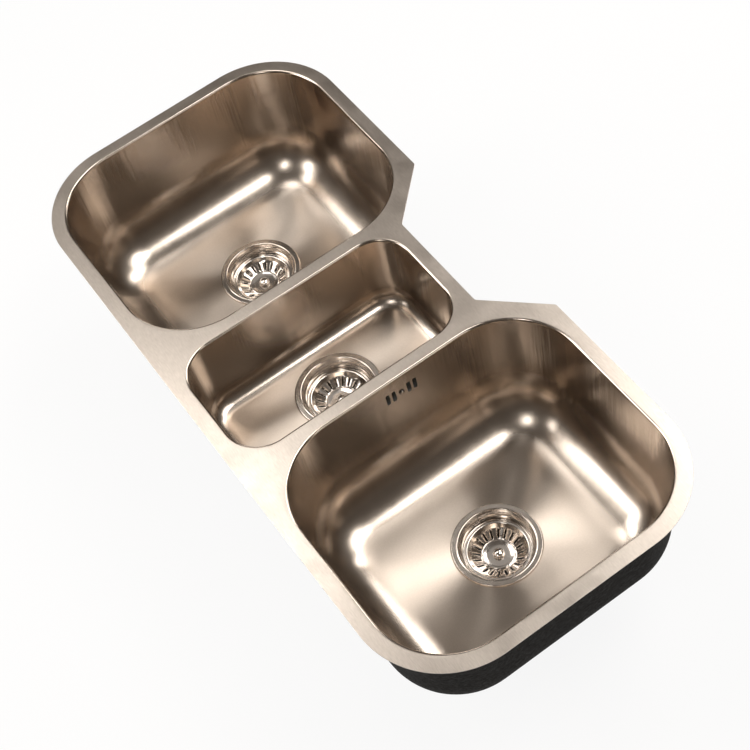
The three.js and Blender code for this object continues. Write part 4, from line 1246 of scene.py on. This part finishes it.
def overflow_fixing_screw():
    """The domed cross-head screw that pulls the housing to the wall; the collar round its dome is
    black rubber, painted shade ringing the head.
    """
    head_low = wall_face + REST_GAP
    length = head_low - (housing_low.x + HOUSING_WALL + BORE_GAP)
    dome_low = OVERFLOW_COLLAR / 2
    outline = [
        *dome(OVERFLOW_DOME_RADIUS, dome_low, OVERFLOW_HEAD - dome_low, OVERFLOW_DOME_STEPS),
        (OVERFLOW_HEAD_RADIUS - OVERFLOW_COLLAR_BEVEL, OVERFLOW_COLLAR, 0),
        (OVERFLOW_HEAD_RADIUS, OVERFLOW_COLLAR / 2, 0),
        (OVERFLOW_HEAD_RADIUS, 0, 0),
        (OVERFLOW_SCREW_RADIUS, 0, BROKEN_EDGE),
        (OVERFLOW_SCREW_RADIUS, -length, FINE_EDGE),
        (0, -length, 0),
    ]
    points, faces = turned(outline, raised(0), closed=False, steps=SMALL_TURNED_STEPS)
    # Faces outside the dome take the black rubber: painted shade ringing the head
    dome_edge = OVERFLOW_DOME_RADIUS + SAME_POINT
    painted_shade_faces = [int(max(points[k].xy.length for k in face) > dome_edge) for face in faces]
    lay = Matrix.Translation(on_axis(head_low)) @ Matrix.Rotation(QUARTER, 4, "Y")
    piece = shown(
        "overflow_fixing_screw", ([lay @ point for point in points], faces),
        [bright_steel, seal_rubber], ["overflow_screw"], faces_material=painted_shade_faces,
    )
    cutters = []
    face = on_axis(head_low + OVERFLOW_HEAD)
    for y, z in ((CROSS_REACH, CROSS_WIDTH / 2), (CROSS_WIDTH / 2, CROSS_REACH)):
        low = face + Vector((-OVERFLOW_HEAD / 2, -y, -z))
        cutters.append(cuboid(low, face + Vector((CUT_OVERRUN, y, z))))
    combined(piece, "DIFFERENCE", cutters)


def rounded_rectangle(low, high, margin, rounding):
    """(y, z) points round a rectangle, drawn in by a margin, with round corners."""
    flat = [
        (low.y + margin, low.z + margin, rounding),
        (high.y - margin, low.z + margin, rounding),
        (high.y - margin, high.z - margin, rounding),
        (low.y + margin, high.z - margin, rounding),
    ]
    return softened(flat, closed=True, steps=PLATE_CORNER_STEPS)


def overflow_gasket():
    """The seal that fills the wedge between the sloping wall and the upright housing."""
    low, high = box("overflow_seal")

    def wall_x(z):
        return right_bowl.low.x + right_bowl.wall_inset(z, SHEET + REST_GAP)

    def housing_x(z):
        return low.x

    loops = []
    rim = OVERFLOW_SEAL_WIDTH
    for margin, x_at in ((0, wall_x), (rim, wall_x), (rim, housing_x), (0, housing_x)):
        outline = rounded_rectangle(low, high, margin, OVERFLOW_SEAL_ROUND)
        loops.append([Vector((x_at(z), y, z)) for y, z in outline])
    shown(
        "overflow_gasket", strips(loops, closed=True), [seal_rubber],
        ["overflow_seal"],
    )


def overflow_box():
    """The plastic housing behind the slots, with a boss for the screw and a spigot for the pipe."""

    def rounded_block(low, high):
        middle = (low.x + high.x) / 2
        outline = rounded_rectangle(low, high, 0, HOUSING_ROUND)
        placed = [Vector((middle, y, z)) for y, z in outline]
        return prism(placed, Vector((1, 0, 0)), (high.x - low.x) / 2)

    low = Vector((housing_low.x, housing_low.y, housing_bottom))
    wall = Vector((HOUSING_WALL, HOUSING_WALL, HOUSING_WALL))
    piece = shown(
        "overflow_box", rounded_block(low, housing_high), [grey_plastic],
        ["overflow_housing"],
    )
    hollow_high = housing_high - wall + Vector((HOUSING_WALL + CUT_OVERRUN, 0, 0))
    combined(piece, "DIFFERENCE", [tool(rounded_block(low + wall, hollow_high))])
    back_wall = on_axis(low.x + HOUSING_WALL / 2)
    face_end = on_axis(housing_high.x)
    spigot_low = Vector((pipe_x, overflow_y, housing_bottom - SPIGOT_LENGTH))
    spigot_high = Vector((pipe_x, overflow_y, housing_bottom + HOUSING_WALL / 2))
    combined(piece, "UNION", [
        rod(back_wall, face_end, BOSS_RADIUS), rod(spigot_low, spigot_high, spigot_radius),
    ])
    over_x, over_z = Vector((CUT_OVERRUN, 0, 0)), raised(CUT_OVERRUN)
    screw_start = back_wall + Vector((HOUSING_WALL / 2, 0, 0))
    combined(piece, "DIFFERENCE", [
        rod(screw_start, face_end + over_x, OVERFLOW_SCREW_RADIUS + BORE_GAP),
        rod(spigot_low - over_z, spigot_high + over_z, spigot_radius - SPIGOT_WALL),
    ])


def overflow_tube():
    """The pipe from the housing down and round a quarter bend to the right waste."""
    top = housing_bottom - REST_GAP
    inlet_z = right_bowl.floor - INLET_DEPTH
    bend_top = inlet_z + PIPE_BEND
    end_x = right_bowl.drain.x - BODY_CUP_RADIUS - BODY_WALL - INLET_SHOULDER
    path = [
        Vector((pipe_x, overflow_y, top + (bend_top - top) * k / PIPE_STEPS))
        for k in range(PIPE_STEPS)
    ]
    for angle in turns(0, QUARTER, PIPE_BEND_STEPS):
        x = pipe_x + PIPE_BEND * (1 - math.cos(angle))
        path.append(Vector((x, overflow_y, bend_top - PIPE_BEND * math.sin(angle))))
    path.append(Vector((end_x, overflow_y, inlet_z)))
    form = swept(path, pipe_radius, pipe_radius - PIPE_WALL)
    shown("overflow_tube", form, [grey_plastic], ["overflow_pipe"])


deck_sheet()
for bowl in bowls:
    pressing = bowl_pressing(bowl)
    deadening = bowl_deadening(bowl)
    if bowl is right_bowl:
        combined(pressing, "DIFFERENCE", overflow_cutters())
        combined(deadening, "DIFFERENCE", [coat_window()])
    strainer_flange(bowl)
    waste_seals(bowl)
    waste_housing(bowl, with_inlet=bowl is right_bowl)
    fixing_screw(bowl)
    basket_cup(bowl)
    basket_knob(bowl)
    basket_stopper(bowl)
overflow_fixing_screw()
overflow_gasket()
overflow_box()
overflow_tube()
for piece in pieces:
    keep_flats_flat(piece)


# Studio: lengths in metres, but for the paper's fibre, the lens and the sensor in millimetres
FLOOR_REACH = 6.0  # from the sink to each edge of the floor
FLOOR_GAP = 0.0005  # between the sink and the floor
PAPER_FIBRE = 4.0
SHADOW_SHARE = 0.1  # how much of the lit floor shows under the plain white
AIR_STRENGTH = 0.1
LAMP_CENTRE = Vector((0, 0.2, -0.1))
LAMP_DISTANCE = 2.5
LAMP_COLOUR = "#fffaf4"
WHITE = "#ffffff"
# Windows of light round a dark zenith: name, azimuth, elevation, half-width, half-height, strength
SOFTBOXES = [
    ("back_high", 70, 58, 14, 12, 5.5),
    ("over_right", 45, 71, 8, 5, 8),
    ("back_middle", 112, 50, 8, 15, 6),
    ("left_high", 188, 64, 8, 9, 5),
    ("left_middle", 192, 46, 9, 6, 1),
    ("over_left", 160, 60, 18, 12, 0.25),
    ("front_left", 220, 46, 12, 9, 6.5),
    ("front", 245, 36, 13, 10, 5.5),
    ("front_high", 305, 56, 5, 9, 6),
    ("right_low", 14, 13, 9, 9, 3),
    ("left_low", 155, 8, 10, 8, 3),
    ("front_low", 245, 12, 9, 8, 4),
    ("back_low", 100, 14, 15, 9, 3),
]
CAMERA_PLACE = Vector((1.10408, -0.20566, 1.61009))
CAMERA_LOOK = Vector((-0.52338, 0.20650, -0.82670))
CAMERA_RIGHT = Vector((0.56218, 0.81276, -0.15289))
CAMERA_LENS = 77.32
CAMERA_SENSOR = 36


def studio_floor():
    """A white sheet under the sink that shows as plain white with a faint shadow."""
    material, tree, place = finish("white_studio_paper")
    fibres = node(tree, "TexNoise", inputs={
        "Vector": place, "Scale": 1 / (PAPER_FIBRE * MM), "Detail": 2.0, "Roughness": 0.5,
    })
    tint = node(tree, "Mix", OF_COLOURS, {
        0: fibres.outputs[0], 6: colour("#f4f3f1"), 7: colour("#f8f7f5"),
    })
    paper = node(tree, "BsdfPrincipled", inputs={"Base Color": tint.outputs[2], "Roughness": 0.8})
    rays = node(tree, "LightPath").outputs
    seen = node(tree, "Math", {"operation": "ADD"}, {
        0: rays["Is Camera Ray"], 1: rays["Is Glossy Ray"],
    })
    seen = node(tree, "Math", {"operation": "ADD", "use_clamp": True}, {
        0: seen.outputs[0], 1: rays["Is Transmission Ray"],
    })
    share = node(tree, "Math", {"operation": "MULTIPLY"}, {
        0: seen.outputs[0], 1: 1 - SHADOW_SHARE,
    })
    white = node(tree, "Emission", inputs={"Color": colour(WHITE), "Strength": 1.0})
    shader = node(tree, "MixShader", inputs={
        0: share.outputs[0], 1: paper.outputs[0], 2: white.outputs[0],
    })
    node(tree, "OutputMaterial", inputs={"Surface": shader.outputs[0]})
    level = cad_bounds[0].z - FLOOR_GAP
    corners = [(-1, -1), (1, -1), (1, 1), (-1, 1)]
    points = [(x * FLOOR_REACH, y * FLOOR_REACH, level) for x, y in corners]
    mesh = bpy.data.meshes.new("studio_floor")
    mesh.from_pydata(points, [], [(0, 1, 2, 3)])
    mesh.materials.append(material)
    floor = added("studio_floor", mesh)


def softbox(name, azimuth, elevation, wide, tall, strength):
    """An oval lamp that faces the sink, seen from it at two angles and with two half-widths.

    All four are in degrees, the azimuth from +X towards +Y; strength is the lamp's brightness."""
    level, turn = math.radians(elevation), math.radians(azimuth)
    flat = math.cos(level)
    direction = Vector((flat * math.cos(turn), flat * math.sin(turn), math.sin(level)))
    lamp = bpy.data.lights.new(name, "AREA")
    lamp.shape = "ELLIPSE"
    lamp.size = 2 * LAMP_DISTANCE * math.tan(math.radians(wide))
    lamp.size_y = 2 * LAMP_DISTANCE * math.tan(math.radians(tall))
    # An oval gives off its brightness times its area times pi
    lamp.energy = strength * math.pi * math.pi / 4 * lamp.size * lamp.size_y
    lamp.color = colour(LAMP_COLOUR)[:3]
    made = added(name, lamp)
    made.location = LAMP_CENTRE + direction * LAMP_DISTANCE
    made.rotation_euler = direction.to_track_quat("Z", "Y").to_euler()


def studio_air():
    """The room's dim warm light from all round, which shows as plain white behind the sink."""
    world = bpy.data.worlds.new("studio_air")
    bpy.context.scene.world = world
    world.use_nodes = True
    tree = world.node_tree
    tree.nodes.clear()
    air = node(tree, "Background", inputs={"Color": colour("#f4e4d4"), "Strength": AIR_STRENGTH})
    white = node(tree, "Background", inputs={"Color": colour(WHITE), "Strength": 1.0})
    seen = node(tree, "LightPath").outputs["Is Camera Ray"]
    either = node(tree, "MixShader", inputs={0: seen, 1: air.outputs[0], 2: white.outputs[0]})
    node(tree, "OutputWorld", inputs={"Surface": either.outputs[0]})


def studio_camera():
    """The camera that took the photo, as fitted to it."""
    camera = bpy.data.cameras.new("camera")
    camera.lens = CAMERA_LENS
    camera.sensor_width = CAMERA_SENSOR
    made = added("camera", camera)
    back = -CAMERA_LOOK.normalized()
    right = CAMERA_RIGHT.normalized()
    turn = Matrix((right, back.cross(right), back)).transposed()
    made.matrix_world = Matrix.Translation(CAMERA_PLACE) @ turn.to_4x4()
    bpy.context.scene.camera = made


studio_floor()
studio_air()
for lamp in SOFTBOXES:
    softbox(*lamp)
studio_camera()
bpy.context.scene.view_settings.view_transform = "Standard"
